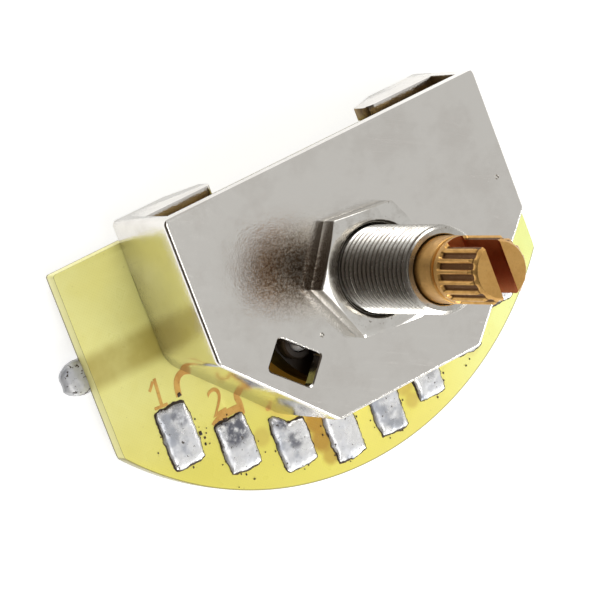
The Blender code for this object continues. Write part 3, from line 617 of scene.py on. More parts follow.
def thread_finish():
    """Turned nickel with painted shade in the roots of the thread, found by the distance from the axis."""
    look = Look("thread_nickel", 1.0)
    root = look.times(look.spot(0.0, 0.0, *ROOT_SHADE_OUTER), look.spot(0.0, 0.0, *ROOT_SHADE_INNER),
                      look.band(object_place(look.tree)[2], *ROOT_SHADE_END))
    haze = look.patches(700.0, 0.4, 0.7)
    grit = look.patches(3400.0, 0.58, 0.68)
    colour = look.mix(haze, (0.64, 0.62, 0.575), (0.48, 0.455, 0.41))
    colour = look.mix(look.times(grit, 0.7), colour, (0.20, 0.17, 0.14))
    # painted shade: the roots of the thread are darkened
    colour = look.mix(root, colour, (0.09, 0.075, 0.06))
    dull = look.math('MULTIPLY_ADD', root, 0.2, look.between(haze, 0.2, 0.32))
    return look.finish(colour, dull, look.grain(4200.0, 0.3), 0.00001, 0.5)


def brass_finish():
    look = Look("bare_brass", 1.0)
    x, y, z = object_place(look.tree)
    # painted shade: the spline grooves are painted near black, and the walls and floor of the slot a darker red
    # brown
    groove_shade = look.times(look.spot(0.0, 0.0, GROOVE_SHADE_START, GROOVE_SHADE_FULL),
                        look.band(z, SPLINE_FLOOR, SPLINE_FLOOR + 0.1 * MM),
                        look.band(z, shaft_high.z - 0.36 * MM, shaft_high.z - 0.42 * MM))
    slot_shade = look.times(look.band(look.math('ABSOLUTE', x), SLOT_HALF + 0.03 * MM, SLOT_HALF + 0.01 * MM),
                      look.band(z, SLOT_FLOOR - 0.05 * MM, SLOT_FLOOR - 0.01 * MM))
    haze = look.patches(900.0, 0.38, 0.68)
    grit = look.patches(5200.0, 0.60, 0.70)
    colour = look.mix(haze, (0.62, 0.36, 0.115), (0.50, 0.28, 0.085))
    colour = look.mix(groove_shade, colour, (0.13, 0.06, 0.022))
    colour = look.mix(slot_shade, colour, (0.42, 0.12, 0.035))
    colour = look.mix(look.times(grit, 0.5), colour, (0.36, 0.20, 0.08))
    dull = look.math('MULTIPLY_ADD', haze, 0.1, 0.34)
    dull = look.math('MULTIPLY_ADD', look.scratches(2600.0, 0.06, 0.03), 0.08, dull)
    dull = look.math('MULTIPLY_ADD', groove_shade, 0.12, dull)
    return look.finish(colour, dull, look.grain(5000.0, 0.3), 0.00001, 0.4)


def inside_finish():
    """A dark brown copy of the nickel for the faces inside the cup, which is painted shade."""
    look = Look("inside_shade_nickel", 0.8)
    haze = look.patches(420.0, 0.4, 0.66)
    colour = look.mix(haze, (0.24, 0.16, 0.06), (0.11, 0.065, 0.025))
    return look.finish(colour, look.between(haze, 0.3, 0.5), look.grain(3000.0, 0.3), 0.00002, 0.6)


NICKEL = nickel_finish()
INSIDE_SHADE = inside_finish()
TURNED = turned_finish()
THREAD = thread_finish()
BRASS = brass_finish()
print("metals:", NICKEL.name, TURNED.name, BRASS.name)

# %% [markdown]
# ## Board, solder and inner finishes
# The board is glass cloth in yellow resin, and the weave shows as fine threads. Light passing through it
# is painted: a little glow, a tone lighter near the top and paler green to the right, a lighter side, a soft
# olive shadow of the lug behind it, amber shade under the cup and brown shadows between the pads. Solder is
# bright where it flowed last, grey where it cooled slowly, and brown to black at its foot, where the flux
# burnt.
# Inside the cup are a black moulding, springy bronze, steel and brass.

# %% Mix the board and the copper
BOARD_LOW, BOARD_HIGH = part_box("circuit_board")
BOARD_FRONT = BOARD_HIGH.z
# the lower edge is one arc between the ends of the straight sides
BOARD_SIDE_END = -7.9 * MM
board_middle = (BOARD_LOW.x + BOARD_HIGH.x) / 2
board_half = (BOARD_HIGH.x - BOARD_LOW.x) / 2
arc_depth = BOARD_SIDE_END - BOARD_LOW.y
board_radius = (board_half ** 2 + arc_depth ** 2) / (2 * arc_depth)
board_arc_y = BOARD_LOW.y + board_radius
RIM_LINE = 0.13 * MM
LUG_LOW, LUG_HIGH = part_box("ground_lug")
# painted shadow: the Y limits of the soft olive band where the lug lies behind the board
LUG_SHADOW_BAND = (-1.7 * MM, -0.3 * MM, 1.5 * MM, 2.9 * MM)
WEAVE_RATE = tau / (0.34 * MM)
# painted shadow: brown places between the pads, where parts behind the board darken it; X, Y and radius in
# millimetres, and strength
AMBER_SHADOW_SPOTS = [(-5.6, -14.9, 1.5, 0.85), (-5.5, -13.0, 1.6, 0.9), (-5.2, -16.6, 1.2, 0.6),
               (4.5, -14.0, 1.3, 0.45), (4.8, -15.6, 1.0, 0.4), (-11.2, -12.0, 1.2, 0.3),
               (12.6, -13.4, 1.5, 0.25), (15.5, -10.6, 1.5, 0.3)]
# painted shade: the board under the cup and below the window is painted amber, as it looks in the cup's shade
UNDER_CUP_SHADE = (11.0 * MM, 7.0 * MM)
WINDOW_SHADE = (-5.6 * MM, -7.6 * MM, 5.5 * MM)
# painted light: the strength of the board's glow
BOARD_PAINTED_GLOW = 0.08
# depths below the front where a mask begins and is full: the side's painted light, and the ends of the dark
# line
SIDE_PAINTED_LIGHT = (0.03 * MM, 0.09 * MM)
LINE_TOP = (0.012 * MM, 0.03 * MM)
LINE_END = (0.11 * MM, 0.05 * MM)


def board_finish():
    look = Look("board_glass_epoxy")
    x, y, z = object_place(look.tree)
    cloud = look.patches(150.0, 0.35, 0.68)
    dust = look.patches(2400.0, 0.66, 0.76)
    # painted light: lighter near the top, deeper yellow toward the bottom and paler green to the right, for the
    # light that comes through the board
    colour = look.mix(look.band(y, -1.0 * MM, -13.0 * MM), (0.83, 0.80, 0.29), (0.79, 0.71, 0.13))
    colour = look.mix(look.band(x, 4.0 * MM, 20.0 * MM), colour, (0.74, 0.80, 0.31))
    colour = look.mix(look.times(cloud, 0.3), colour, (0.70, 0.61, 0.10))
    # painted shadow: the brown places between the pads
    colour = look.stain(colour, AMBER_SHADOW_SPOTS, (0.40, 0.19, 0.015))
    # painted shade: amber under the cup and below the window
    under_cup_shade = look.times(look.spot(0.0, 0.0, *UNDER_CUP_SHADE), 0.85)
    window_shade_spot = look.times(look.spot(*WINDOW_SHADE), 0.9)
    colour = look.mix(look.math('MAXIMUM', under_cup_shade, window_shade_spot), colour, (0.75, 0.34, 0.025))
    # painted shadow: a soft olive band where the lug lies behind the board
    lug_shadow = look.times(look.band(y, LUG_SHADOW_BAND[0], LUG_SHADOW_BAND[1]), look.band(y, LUG_SHADOW_BAND[3], LUG_SHADOW_BAND[2]),
                        look.band(x, -3.0 * MM, -5.0 * MM), look.math('MULTIPLY_ADD', cloud, 0.25, 0.5))
    colour = look.mix(lug_shadow, colour, (0.36, 0.27, 0.03))
    weave = look.times(*(look.math('SINE', look.times(value, WEAVE_RATE)) for value in (x, y)))
    colour = look.mix(look.times(look.band(weave, 0.2, 0.9), 0.10), colour, (0.50, 0.45, 0.12))
    colour = look.mix(look.times(dust, 0.35), colour, (0.36, 0.30, 0.10))
    # painted light makes the side lighter than the front, and fine dark lines mark its edges and the arc of the
    # front
    side, top, end = (look.band(z, BOARD_FRONT - start, BOARD_FRONT - full)
                      for start, full in (SIDE_PAINTED_LIGHT, LINE_TOP, LINE_END))
    side = look.times(side, look.band(z, BOARD_LOW.z, BOARD_LOW.z + 0.05 * MM), 0.6)
    colour = look.mix(side, colour, (0.86, 0.82, 0.36))
    edge_line = look.times(top, end)
    foot = look.band(z, BOARD_LOW.z + 0.32 * MM, BOARD_LOW.z + 0.22 * MM)
    rim = look.times(look.spot(board_middle, board_arc_y, board_radius - RIM_LINE,
                               board_radius - RIM_LINE / 2), 0.8)
    lines = look.math('MAXIMUM', look.math('MAXIMUM', edge_line, rim), foot)
    colour = look.mix(look.times(lines, 0.9), colour, (0.16, 0.13, 0.05))
    # painted light: an emission makes the board glow a little, standing in for light coming through it from the
    # white ground, so it is never quite dark
    look.feed("Emission Color", colour)
    look.feed("Emission Strength", BOARD_PAINTED_GLOW)
    return look.finish(colour, look.between(cloud, 0.26, 0.42), weave, 0.000002, 0.35)


def copper_finish():
    look = Look("etched_copper")
    cloud = look.patches(900.0, 0.38, 0.66)
    colour = look.mix(cloud, (0.74, 0.43, 0.10), (0.60, 0.30, 0.06))
    colour = look.mix(look.times(look.patches(3600.0, 0.60, 0.70), 0.5), colour, (0.36, 0.16, 0.04))
    look.feed("Metallic", look.between(cloud, 0.1, 0.25))
    return look.finish(colour, look.between(cloud, 0.3, 0.45))


BOARD = board_finish()
COPPER = copper_finish()
print("board finishes:", BOARD.name, COPPER.name)

# %% Mix the solder and the burnt flux
FLUX_RISE = 0.13 * MM
# dark places on the solder, listed like the brown places on the board
SMUTS = [(-13.7, -10.0, 2.3, 0.95), (-8.6, -11.2, 1.6, 0.95), (-8.2, -13.6, 1.1, 0.8),
         (-18.4, -6.6, 1.3, 0.75), (-2.0, -13.4, 0.8, 0.4), (7.6, -13.9, 0.9, 0.4)]


def solder_finish(name, foot, pitted=0.63, bright=0.93, metal=0.7):
    """Tin with a brown to black foot. The foot is a height, so it follows the mound's edge."""
    look = Look(name)
    cloud = look.patches(420.0, 0.40, 0.62)
    blue = look.patches(230.0, 0.54, 0.66)
    pits = look.patches(2300.0, pitted, pitted + 0.05)
    colour = look.mix(cloud, (bright, bright, bright), (0.76 * bright, 0.77 * bright, 0.8 * bright))
    colour = look.mix(look.times(blue, 0.7), colour, (0.30, 0.325, 0.38))
    colour = look.stain(colour, SMUTS, (0.13, 0.135, 0.17), look.patches(900.0, 0.36, 0.56))
    ragged = look.math('MULTIPLY_ADD', cloud, FLUX_RISE, object_place(look.tree)[2])
    burnt = look.math('MAXIMUM', look.band(ragged, foot + 1.3 * FLUX_RISE, foot + 0.9 * FLUX_RISE), pits)
    colour = look.mix(burnt, colour, (0.045, 0.03, 0.02))
    look.feed("Metallic", look.between(burnt, metal, 0.0))
    dull = look.math('MULTIPLY_ADD', burnt, 0.15, look.between(cloud, 0.26, 0.42))
    return look.finish(colour, dull, look.grain(1500.0, 0.35), 0.00003, 0.35)


def flux_finish():
    look = Look("burnt_flux")
    cloud = look.patches(1500.0, 0.38, 0.62)
    return look.finish(look.mix(cloud, (0.11, 0.055, 0.02), (0.02, 0.013, 0.01)), look.between(cloud, 0.2, 0.5))


PAD_SOLDER = solder_finish("pad_solder", BOARD_FRONT)
LUG_SOLDER = solder_finish("lug_solder", LUG_LOW.z - 2 * FLUX_RISE, 0.585, 0.66, 0.3)
FLUX = flux_finish()
print("solder finishes:", PAD_SOLDER.name, LUG_SOLDER.name, FLUX.name)

# %% Mix the moulding and the inner metals


def moulding_finish():
    look = Look("black_moulding")
    cloud = look.patches(500.0, 0.4, 0.7)
    dust = look.patches(3800.0, 0.66, 0.74)
    colour = look.mix(cloud, (0.050, 0.034, 0.022), (0.034, 0.026, 0.018))
    colour = look.mix(look.times(dust, 0.4), colour, (0.16, 0.15, 0.13))
    return look.finish(colour, look.between(cloud, 0.34, 0.5), look.grain(5000.0, 0.4), 0.000012, 0.5)


def inner_metal(name, bright, dull, smooth, rough, metal=1.0):
    """A plain metal with tarnish and fine scratches."""
    look = Look(name, metal)
    cloud = look.patches(700.0, 0.4, 0.68)
    even = look.between(cloud, smooth, rough)
    scratched = look.math('MULTIPLY_ADD', look.scratches(2400.0, 0.05, 0.02), 0.12, even)
    return look.finish(look.mix(cloud, bright, dull), scratched)


MOULDING = moulding_finish()
STEEL = inner_metal("bright_steel", (0.78, 0.77, 0.75), (0.62, 0.61, 0.59), 0.12, 0.24)
# painted light: the ball's steel is whiter and less metallic than the other steel, so it looks lit in the shade
# inside the cup
BALL_STEEL = inner_metal("ball_steel", (0.95, 0.95, 0.94), (0.86, 0.86, 0.86), 0.2, 0.3, 0.35)
BRONZE = inner_metal("spring_bronze", (0.80, 0.70, 0.50), (0.62, 0.50, 0.31), 0.2, 0.34)
INNER_BRASS = inner_metal("turned_brass", (0.84, 0.62, 0.34), (0.66, 0.44, 0.2), 0.22, 0.38)
TRACK_COPPER = inner_metal("track_copper", (0.86, 0.46, 0.26), (0.56, 0.27, 0.13), 0.22, 0.4)
INNER_LOOKS = {"rotor": MOULDING, "retaining_ring": STEEL, "detent_spring": STEEL, "inner_wiper": BRONZE,
               "outer_wiper": BRONZE, "rear_bearing": INNER_BRASS, "common_track": TRACK_COPPER}
for k in range(1, 6):
    INNER_LOOKS["contact_track_%d" % k] = TRACK_COPPER
for node, material in INNER_LOOKS.items():
    for place in bpy.data.objects[node].material_slots:
        place.material = material
print("dressed nodes:", len(INNER_LOOKS))

# %% [markdown]
# ## Folded cup
# On the real switch a flat blank is stamped and its five sides are folded back, so the outer corners
# are tight at the plate and open up toward the rim. Two outlines with the same count of points, one
# with small corners and one with large ones, are bridged to give just that. The hollow is a second
# form of the same kind, one sheet smaller, and the plate's own edge gets the pressed radius.

# %% Draw an outline of the cup and bridge two of them
SHEET = 1.3 * MM
CUP_RIM_Z = PLATE_Z - 10.0 * MM
SIDE_END_Y = -1.65 * MM
BOTTOM_Y = -11.35 * MM
BOTTOM_HALF = 8.15 * MM
CORNER_STEPS = 7
# an edge that starts a corner's radius before its corner, where a slanted side turns by 46 degrees
CORNER_REACH = tan(radians(23.0))


def cup_outline(z, corner, inset, top):
    """A rectangle with its two lower corners cut off, and its four lower corners rounded."""
    half, bottom = cup_high.x - inset, BOTTOM_Y + inset
    piece = fresh(bpy.ops.mesh.primitive_plane_add, stretch=(2 * half, top - bottom, 1.0), size=1.0,
                  location=(0.0, (top + bottom) / 2, z))
    for side in (1, -1):
        outward = Vector((side * (SIDE_END_Y - BOTTOM_Y), BOTTOM_HALF - cup_high.x, 0.0)).normalized()
        saw(piece, Vector((side * cup_high.x, SIDE_END_Y, z)) - outward * inset, outward, fill=False)
    bevel(piece, 'VERT', lambda vert: vert.co.y < top - MM, corner * CORNER_REACH, CORNER_STEPS)
    return piece


def bridge_outlines(upper, lower):
    """Join two outlines at different heights into a closed form."""
    heights = [piece.data.vertices[0].co.z for piece in (upper, lower)]
    join_all([upper, lower])
    pick(upper, 'FACE', lambda face: True)
    bpy.ops.mesh.delete(type='ONLY_FACE')
    leave()
    pick(upper, 'EDGE', lambda edge: True)
    bpy.ops.mesh.bridge_edge_loops()
    leave()
    for height in heights:
        pick(upper, 'EDGE', lambda edge: lies_at(edge, 'z', height))
        bpy.ops.mesh.edge_face_add()
        leave()
    return make_solid(upper)


print("cup outline, half widths in mm:", round(cup_high.x / MM, 2), BOTTOM_HALF / MM)

# %% Build the shell and hollow it
CORNER_AT_PLATE = 0.7 * MM
CORNER_AT_RIM = 2.6 * MM
INNER_CORNER_AT_PLATE = 0.3 * MM
INNER_CORNER_AT_RIM = 2.0 * MM
PRESSED_RADIUS = 0.35 * MM
TOP_CORNER = 0.5 * MM
SHEET_SOFT = 0.08 * MM
upper_side = cup_high.y - 0.1 * MM

cup = bridge_outlines(cup_outline(PLATE_Z, CORNER_AT_PLATE, 0.0, cup_high.y),
                      cup_outline(CUP_RIM_Z, CORNER_AT_RIM, 0.0, cup_high.y))
bevel(cup, 'EDGE', lambda edge: rise_of(edge) > MM and middle_of(edge).y > upper_side, TOP_CORNER, 4)
bevel(cup, 'EDGE', lambda edge: lies_at(edge, 'z', PLATE_Z) and middle_of(edge).y < upper_side,
      PRESSED_RADIUS, 5)
hollow = bridge_outlines(cup_outline(PLATE_Z - SHEET, INNER_CORNER_AT_PLATE, SHEET, cup_high.y + MM),
                         cup_outline(CUP_RIM_Z - MM, INNER_CORNER_AT_RIM, SHEET, cup_high.y + MM))
boolean(make_solid(cup), hollow)
soften(cup, SHEET_SOFT, 50.0)
print("cup shell faces:", len(cup.data.polygons), "open edges:", open_edges(cup))

# %% [markdown]
# ## Ears, tabs and openings of the cup
# At the top of each side a tab is folded inward. Its nose is rounded, and its rear corner is cut off
# at a slant. Four short tabs run from the rim through the board. The window in the plate lets one see
# the ball, and the plate has five shallow dimples behind it. Each is a box or a lathe form with its
# own soft edges, and a Boolean joins it or cuts with it. The window's cutter flares at its top, which
# leaves the bright bevel round the opening.

# %% Fold the ears
EAR_WIDTH = 4.4 * MM
EAR_TIP = 8.8 * MM
EAR_CUT = (3.0 * MM, 1.9 * MM)
EAR_NOSE = 1.1 * MM
EAR_STEP = 0.02 * MM


def add_ear(side):
    rear = CUP_RIM_Z + EAR_STEP
    inner, outer = sorted((side * EAR_TIP, side * (cup_high.x - 0.5 * SHEET)))
    top = cup_high.y - EAR_STEP
    ear = block(inner, outer, top - SHEET, top, rear, rear + EAR_WIDTH)
    saw(ear, (side * (EAR_TIP + EAR_CUT[0]), 0.0, rear), (-side * EAR_CUT[1], 0.0, -EAR_CUT[0]))
    bevel(ear, 'EDGE', lambda edge: lies_at(edge, 'z', rear + EAR_WIDTH)
          and near(middle_of(edge).x, side * EAR_TIP), EAR_NOSE, 6)
    make_solid(ear)
    soften(ear, SHEET_SOFT, 40.0)
    boolean(cup, ear, 'UNION')


for side in (1, -1):
    add_ear(side)
print("cup with ears:", len(cup.data.polygons))

# %% Cut the window, the hole, the dimples and two punch dots, and add the rim tabs
WINDOW_SIZE = (4.7 * MM, 3.2 * MM)
WINDOW_PLACE = (-10.3 * MM, -4.6 * MM)
WINDOW_TURN = radians(-43.0)
WINDOW_CORNER = 0.45 * MM
WINDOW_LIP = 0.12 * MM
BUSHING_HOLE = 4.12 * MM
BALL_ORBIT = 8.9 * MM
BALL_ANGLE = 203.5
POSITION_STEP = 30.0
POSITIONS = 5
# profiles as radius and height in millimetres, from the back and from the front of the plate
DIMPLE = ((0.0, -0.3), (1.0, -0.3), (1.0, 0.0), (0.8, 0.15), (0.4, 0.27), (0.0, 0.3))
PUNCH_DOT = ((0.0, -0.16), (0.12, -0.13), (0.2, -0.03), (0.3, 0.1), (0.0, 0.1))
PUNCH_DOTS = ((-6.8 * MM, -3.5 * MM), (15.9 * MM, 2.2 * MM))
TAB_SIZE = (3.0 * MM, 1.0 * MM)
SIDE_TAB_Y = 5.5 * MM


def window_cutter():
    wide, tall = WINDOW_SIZE
    lip = PLATE_Z - WINDOW_LIP
    flare = 2 * WINDOW_LIP
    cutter = centred_block(wide, tall, PLATE_Z - 2 * SHEET, lip)
    bevel(cutter, 'EDGE', lambda edge: not near(rise_of(edge), 0.0), WINDOW_CORNER, 5)
    pick(cutter, 'FACE', lambda face: near(middle_of(face).z, lip))
    extrude(0.0, 0.0, flare)
    widen(1 + 2 * flare / wide, lip + flare, 1 + 2 * flare / tall)
    leave()
    return turned_about(make_solid(cutter), *WINDOW_PLACE, WINDOW_TURN)


def pit_cutter(profile, height, steps, x, y):
    points = [(radius * MM, height + step * MM) for radius, step in profile]
    return turned_about(lathe(points, steps), x, y)


def rim_tab(x, y, turn):
    tab = centred_block(*TAB_SIZE, cup_low.z, CUP_RIM_Z + 0.5 * MM)
    soften(tab, SHEET_SOFT)
    return turned_about(tab, x, y, turn)


slant = atan2(SIDE_END_Y - BOTTOM_Y, cup_high.x - BOTTOM_HALF)
slant_x = (cup_high.x + BOTTOM_HALF) / 2 - SHEET / 2 * sin(slant)
slant_y = (BOTTOM_Y + SIDE_END_Y) / 2 + SHEET / 2 * cos(slant)
side_x = cup_high.x - SHEET / 2
TAB_PLACES = ((side_x, SIDE_TAB_Y, pi / 2), (-side_x, SIDE_TAB_Y, pi / 2),
              (slant_x, slant_y, slant), (-slant_x, slant_y, -slant))
for place in TAB_PLACES:
    boolean(cup, rim_tab(*place), 'UNION')
boolean(cup, window_cutter())
boolean(cup, rod(BUSHING_HOLE, PLATE_Z - 3 * MM, PLATE_Z + MM))
for k in range(POSITIONS):
    angle = radians(BALL_ANGLE - POSITION_STEP * k)
    boolean(cup, pit_cutter(DIMPLE, PLATE_Z - SHEET, 24, BALL_ORBIT * cos(angle), BALL_ORBIT * sin(angle)))
for place in PUNCH_DOTS:
    boolean(cup, pit_cutter(PUNCH_DOT, PLATE_Z, 20, *place))
put_down(cup, "nickel_cup", "frame", NICKEL, 35.0, ["frame_cup"])
# painted shade: the faces inside the cup and under the plate get the dark brown copy of the nickel
cup.data.materials.append(INSIDE_SHADE)
for face in cup.data.polygons:
    inward = -(face.normal.x * face.center.x + face.normal.y * face.center.y)
    if face.center.z < PLATE_Z - 0.3 * MM and (inward > 0.4 * face.center.xy.length or face.normal.z < -0.5):
        face.material_index = 1

# %% [markdown]
# ## Threaded bushing
# An M8 fine thread climbs the bushing. One tooth of the thread is drawn as a profile a single pitch
# high, and the Screw modifier carries it round and up. The rough ends are then cut flat, the front is
# chamfered by meeting the screw with a turned blank, and the bore is taken out. This is how it is
# made on a lathe too, and it gives light and dark turns that no bump map can.

# %% Cut the thread
THREAD_RADIUS = 4.0 * MM
THREAD_PITCH = 0.75 * MM
THREAD_DEPTH = 0.36 * MM
THREAD_STEPS = 64
THREAD_SLACK = 0.02 * MM
CREST_ROUND = 0.05 * MM
BUSHING_BORE = 3.12 * MM
BORE_CHAMFER = 0.12 * MM
BUSHING_CHAMFER = 0.32 * MM
# radii where the rounded end of the chamfer begins and ends
END_RADII = (THREAD_RADIUS - 0.28 * MM, THREAD_RADIUS - 0.36 * MM)
END_ROUND = 0.05 * MM
FLANGE_RADIUS = 5.6 * MM
FLANGE = 1.0 * MM
FLANGE_EDGE = 0.1 * MM
FLANGE_NECK = THREAD_RADIUS - 0.2 * MM
NECK_REACH = 0.3 * MM


def thread_screw(low, high):
    root = THREAD_RADIUS - THREAD_DEPTH
    shoulder = THREAD_RADIUS - CREST_ROUND
    start = low - 1.5 * THREAD_PITCH
    tooth = ((root, 0.0), (root, 0.14), (shoulder, 0.38), (THREAD_RADIUS, 0.44),
             (THREAD_RADIUS, 0.56), (shoulder, 0.62), (root, 0.86), (root, 1.0))
    screw = draw_profile([(radius, start + share * THREAD_PITCH) for radius, share in tooth])
    leave()
    modify(screw, 'SCREW', screw_offset=THREAD_PITCH, iterations=int((high - low) / THREAD_PITCH) + 4,
           steps=THREAD_STEPS, render_steps=THREAD_STEPS, use_merge_vertices=True, merge_threshold=0.000005)
    make_solid(screw)
    saw(screw, (0, 0, low), (0, 0, -1))
    saw(screw, (0, 0, high), (0, 0, 1))
    return make_solid(screw)


foot = bushing_low.z
seat = foot + FLANGE
reach = bushing_high.z
bushing = thread_screw(seat, reach)
blank = lathe([(0.0, foot), (THREAD_RADIUS + THREAD_SLACK, foot),
               (THREAD_RADIUS + THREAD_SLACK, reach - BUSHING_CHAMFER),
               (END_RADII[0], reach - END_ROUND), (END_RADII[1], reach), (0.0, reach)])
boolean(bushing, blank, 'INTERSECT')
flange = lathe([(0.0, foot), (FLANGE_RADIUS - FLANGE_EDGE, foot), (FLANGE_RADIUS, foot + FLANGE_EDGE),
                (FLANGE_RADIUS, seat), (FLANGE_NECK, seat), (FLANGE_NECK, seat + NECK_REACH),
                (0.0, seat + NECK_REACH)])
boolean(bushing, flange, 'UNION')
boolean(bushing, lathe([(0.0, foot - MM), (BUSHING_BORE, foot - MM), (BUSHING_BORE, reach - 0.1 * MM),
                        (BUSHING_BORE + BORE_CHAMFER, reach + 0.02 * MM),
                        (BUSHING_BORE + BORE_CHAMFER, reach + MM), (0.0, reach + MM)]))
put_down(bushing, "screw_bushing", "frame", THREAD, 28.0, ["threaded_bushing"])

# %% [markdown]
# ## Hexagon nut
# A nut is a slice of hexagon bar whose corners are turned off at a slant, so each flat ends in a
# curved line. Meeting a six-sided prism with a turned blank gives those curves exactly. The bore is
# countersunk, and it reads as a dark ring round the thread.

# %% Turn the nut
nut_low, nut_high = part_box("hex_nut")
NUT_FLATS = 11.0 * MM
NUT_TURN = radians(-6.2)
NUT_CHAMFER = 0.30 * MM
NUT_BORE = 4.12 * MM
NUT_SINK = 4.45 * MM
SINK_DEPTH = 0.4 * MM
BLANK_SPARE = 0.2 * MM
FACE_INSET = 0.12 * MM
NUT_SOFT = 0.03 * MM

nut_corner = NUT_FLATS / (2 * cos(pi / 6))
blank_radius = nut_corner + BLANK_SPARE
face_radius = NUT_FLATS / 2 - FACE_INSET
drop = NUT_CHAMFER * (blank_radius - face_radius) / (nut_corner - face_radius)
base = nut_low.z - MM
nut = fresh(bpy.ops.mesh.primitive_cylinder_add, turn=NUT_TURN + pi / 2, vertices=6, radius=nut_corner,
            depth=nut_high.z - nut_low.z, location=(0.0, 0.0, (nut_low.z + nut_high.z) / 2))
boolean(nut, lathe([(0.0, base), (blank_radius, base), (blank_radius, nut_high.z - drop),
                    (face_radius, nut_high.z), (0.0, nut_high.z)], 120), 'INTERSECT')
boolean(nut, lathe([(0.0, base), (NUT_BORE, base), (NUT_BORE, nut_high.z - SINK_DEPTH),
                    (NUT_SINK, nut_high.z), (NUT_SINK, nut_high.z + MM), (0.0, nut_high.z + MM)]))
soften(nut, NUT_SOFT, 25.0)
put_down(nut, "panel_nut", "frame", TURNED, 25.0, ["hex_nut"])

# %% [markdown]
# ## Splined shaft
# A knob grips the shaft by eighteen splines, and a slot takes a screwdriver. The shaft starts as a disc
# with twelve points for each spline and grows by extruding and scaling from ring to ring, which keeps
# the points in line all the way up. The points between the ridges are then drawn in to the radius of
# the groove. On the cone at the tip only the points that stand above the groove move, so each groove
# runs out in a point, as it does when a cone is turned on a splined rod.

# %% Grow the shaft
TEETH = 18
POINTS_PER_TOOTH = 12
SHAFT_RADIUS = 3.0 * MM
TIP_RADIUS = 2.5 * MM
TIP_CHAMFER = 0.8 * MM
SPLINE_START = shaft_high.z - 5.6 * MM
RING_LOW, RING_HIGH = SPLINE_START - 1.3 * MM, SPLINE_START - 0.8 * MM
RING_RADIUS = SHAFT_RADIUS - 0.25 * MM
COLLAR_RADIUS = 4.2 * MM
COLLAR_LOW, COLLAR_HIGH = PLATE_Z - 3.255 * MM, PLATE_Z - 2.455 * MM
NECK_RADIUS = 2.4 * MM
TAIL_END = PLATE_Z - 8.5 * MM
TAIL_RADIUS = 1.5 * MM
EDGE = 0.06 * MM


def grow(levels):
    """Extrude a disc through (radius, height) levels, scaling each new ring about the axis."""
    radius, height = levels[0]
    piece = fresh(bpy.ops.mesh.primitive_circle_add, vertices=TEETH * POINTS_PER_TOOTH, radius=radius,
                  fill_type='NGON', location=(0.0, 0.0, height))
    pick_all(piece)
    for wide, top in levels[1:]:
        extrude(0.0, 0.0, top - height)
        widen(wide / radius, top)
        radius, height = wide, top
    leave()
    return make_solid(piece)


cone_base = shaft_high.z - TIP_CHAMFER
TIP_LEVELS = [(SHAFT_RADIUS - (SHAFT_RADIUS - TIP_RADIUS) * share, cone_base + (TIP_CHAMFER - EDGE) * share)
              for share in (0.0, 0.17, 0.33, 0.5, 0.67, 0.83, 1.0)]
shaft = grow([
    (TAIL_RADIUS - 0.2 * MM, shaft_low.z), (TAIL_RADIUS, shaft_low.z + 0.2 * MM), (TAIL_RADIUS, TAIL_END),
    (NECK_RADIUS, TAIL_END + EDGE), (NECK_RADIUS, COLLAR_LOW - EDGE),
    (COLLAR_RADIUS - EDGE, COLLAR_LOW), (COLLAR_RADIUS, COLLAR_LOW + EDGE),
    (COLLAR_RADIUS, COLLAR_HIGH - EDGE), (COLLAR_RADIUS - EDGE, COLLAR_HIGH),
    (SHAFT_RADIUS, COLLAR_HIGH + EDGE), (SHAFT_RADIUS, RING_LOW - EDGE), (SHAFT_RADIUS - EDGE, RING_LOW),
    (RING_RADIUS, RING_LOW + EDGE), (RING_RADIUS, RING_HIGH - EDGE), (SHAFT_RADIUS - EDGE, RING_HIGH),
    (SHAFT_RADIUS, RING_HIGH + EDGE), (SHAFT_RADIUS, SPLINE_START - 0.2 * MM), (SHAFT_RADIUS, SPLINE_START)]
    + TIP_LEVELS + [(TIP_RADIUS - 0.05 * MM, shaft_high.z)])
print("shaft blank faces:", len(shaft.data.polygons))

# %% Press in the splines and cut the slot
# the points of a tooth that move together, and how deep they go
SPLINE_POINTS = (((2, 10), 0.14 * MM), ((3, 9), 0.30 * MM), ((4, 5, 6, 7, 8), 0.36 * MM))


def tooth_point(vert):
    """Which of the twelve points of its tooth a vertex is."""
    angle = atan2(vert.co.y, vert.co.x) % tau
    return round(angle / tau * TEETH * POINTS_PER_TOOTH) % POINTS_PER_TOOTH


for wide, height in [(SHAFT_RADIUS, SPLINE_START)] + TIP_LEVELS:
    for points, depth in SPLINE_POINTS:
        if wide > SHAFT_RADIUS - depth:
            pick(shaft, 'VERT', lambda vert: near(vert.co.z, height) and tooth_point(vert) in points)
            widen((SHAFT_RADIUS - depth) / wide)
            leave()
boolean(shaft, centred_block(2 * SLOT_HALF, 4 * SHAFT_RADIUS, SLOT_FLOOR, shaft_high.z + MM))
put_down(shaft, "splined_shaft", "turning", BRASS, 25.0, ["shaft"])

# %% [markdown]
# ## Circuit board
# The board's lower edge is one long arc from side to side, so the board starts as a full disc of that
# radius. Three straight cuts give the top and the two sides, and an extrusion gives the thickness.
# This is also how such a panel is routed. Its corners are rounded before the extrusion.

# %% Cut the board from a disc
BOARD_CORNER = 0.8 * MM
BOARD_TOP_CORNER = 0.3 * MM
SLEEVE_HOLE = 2.72 * MM
SLOT_SLACK = 0.12 * MM
BOARD_SOFT = 0.04 * MM

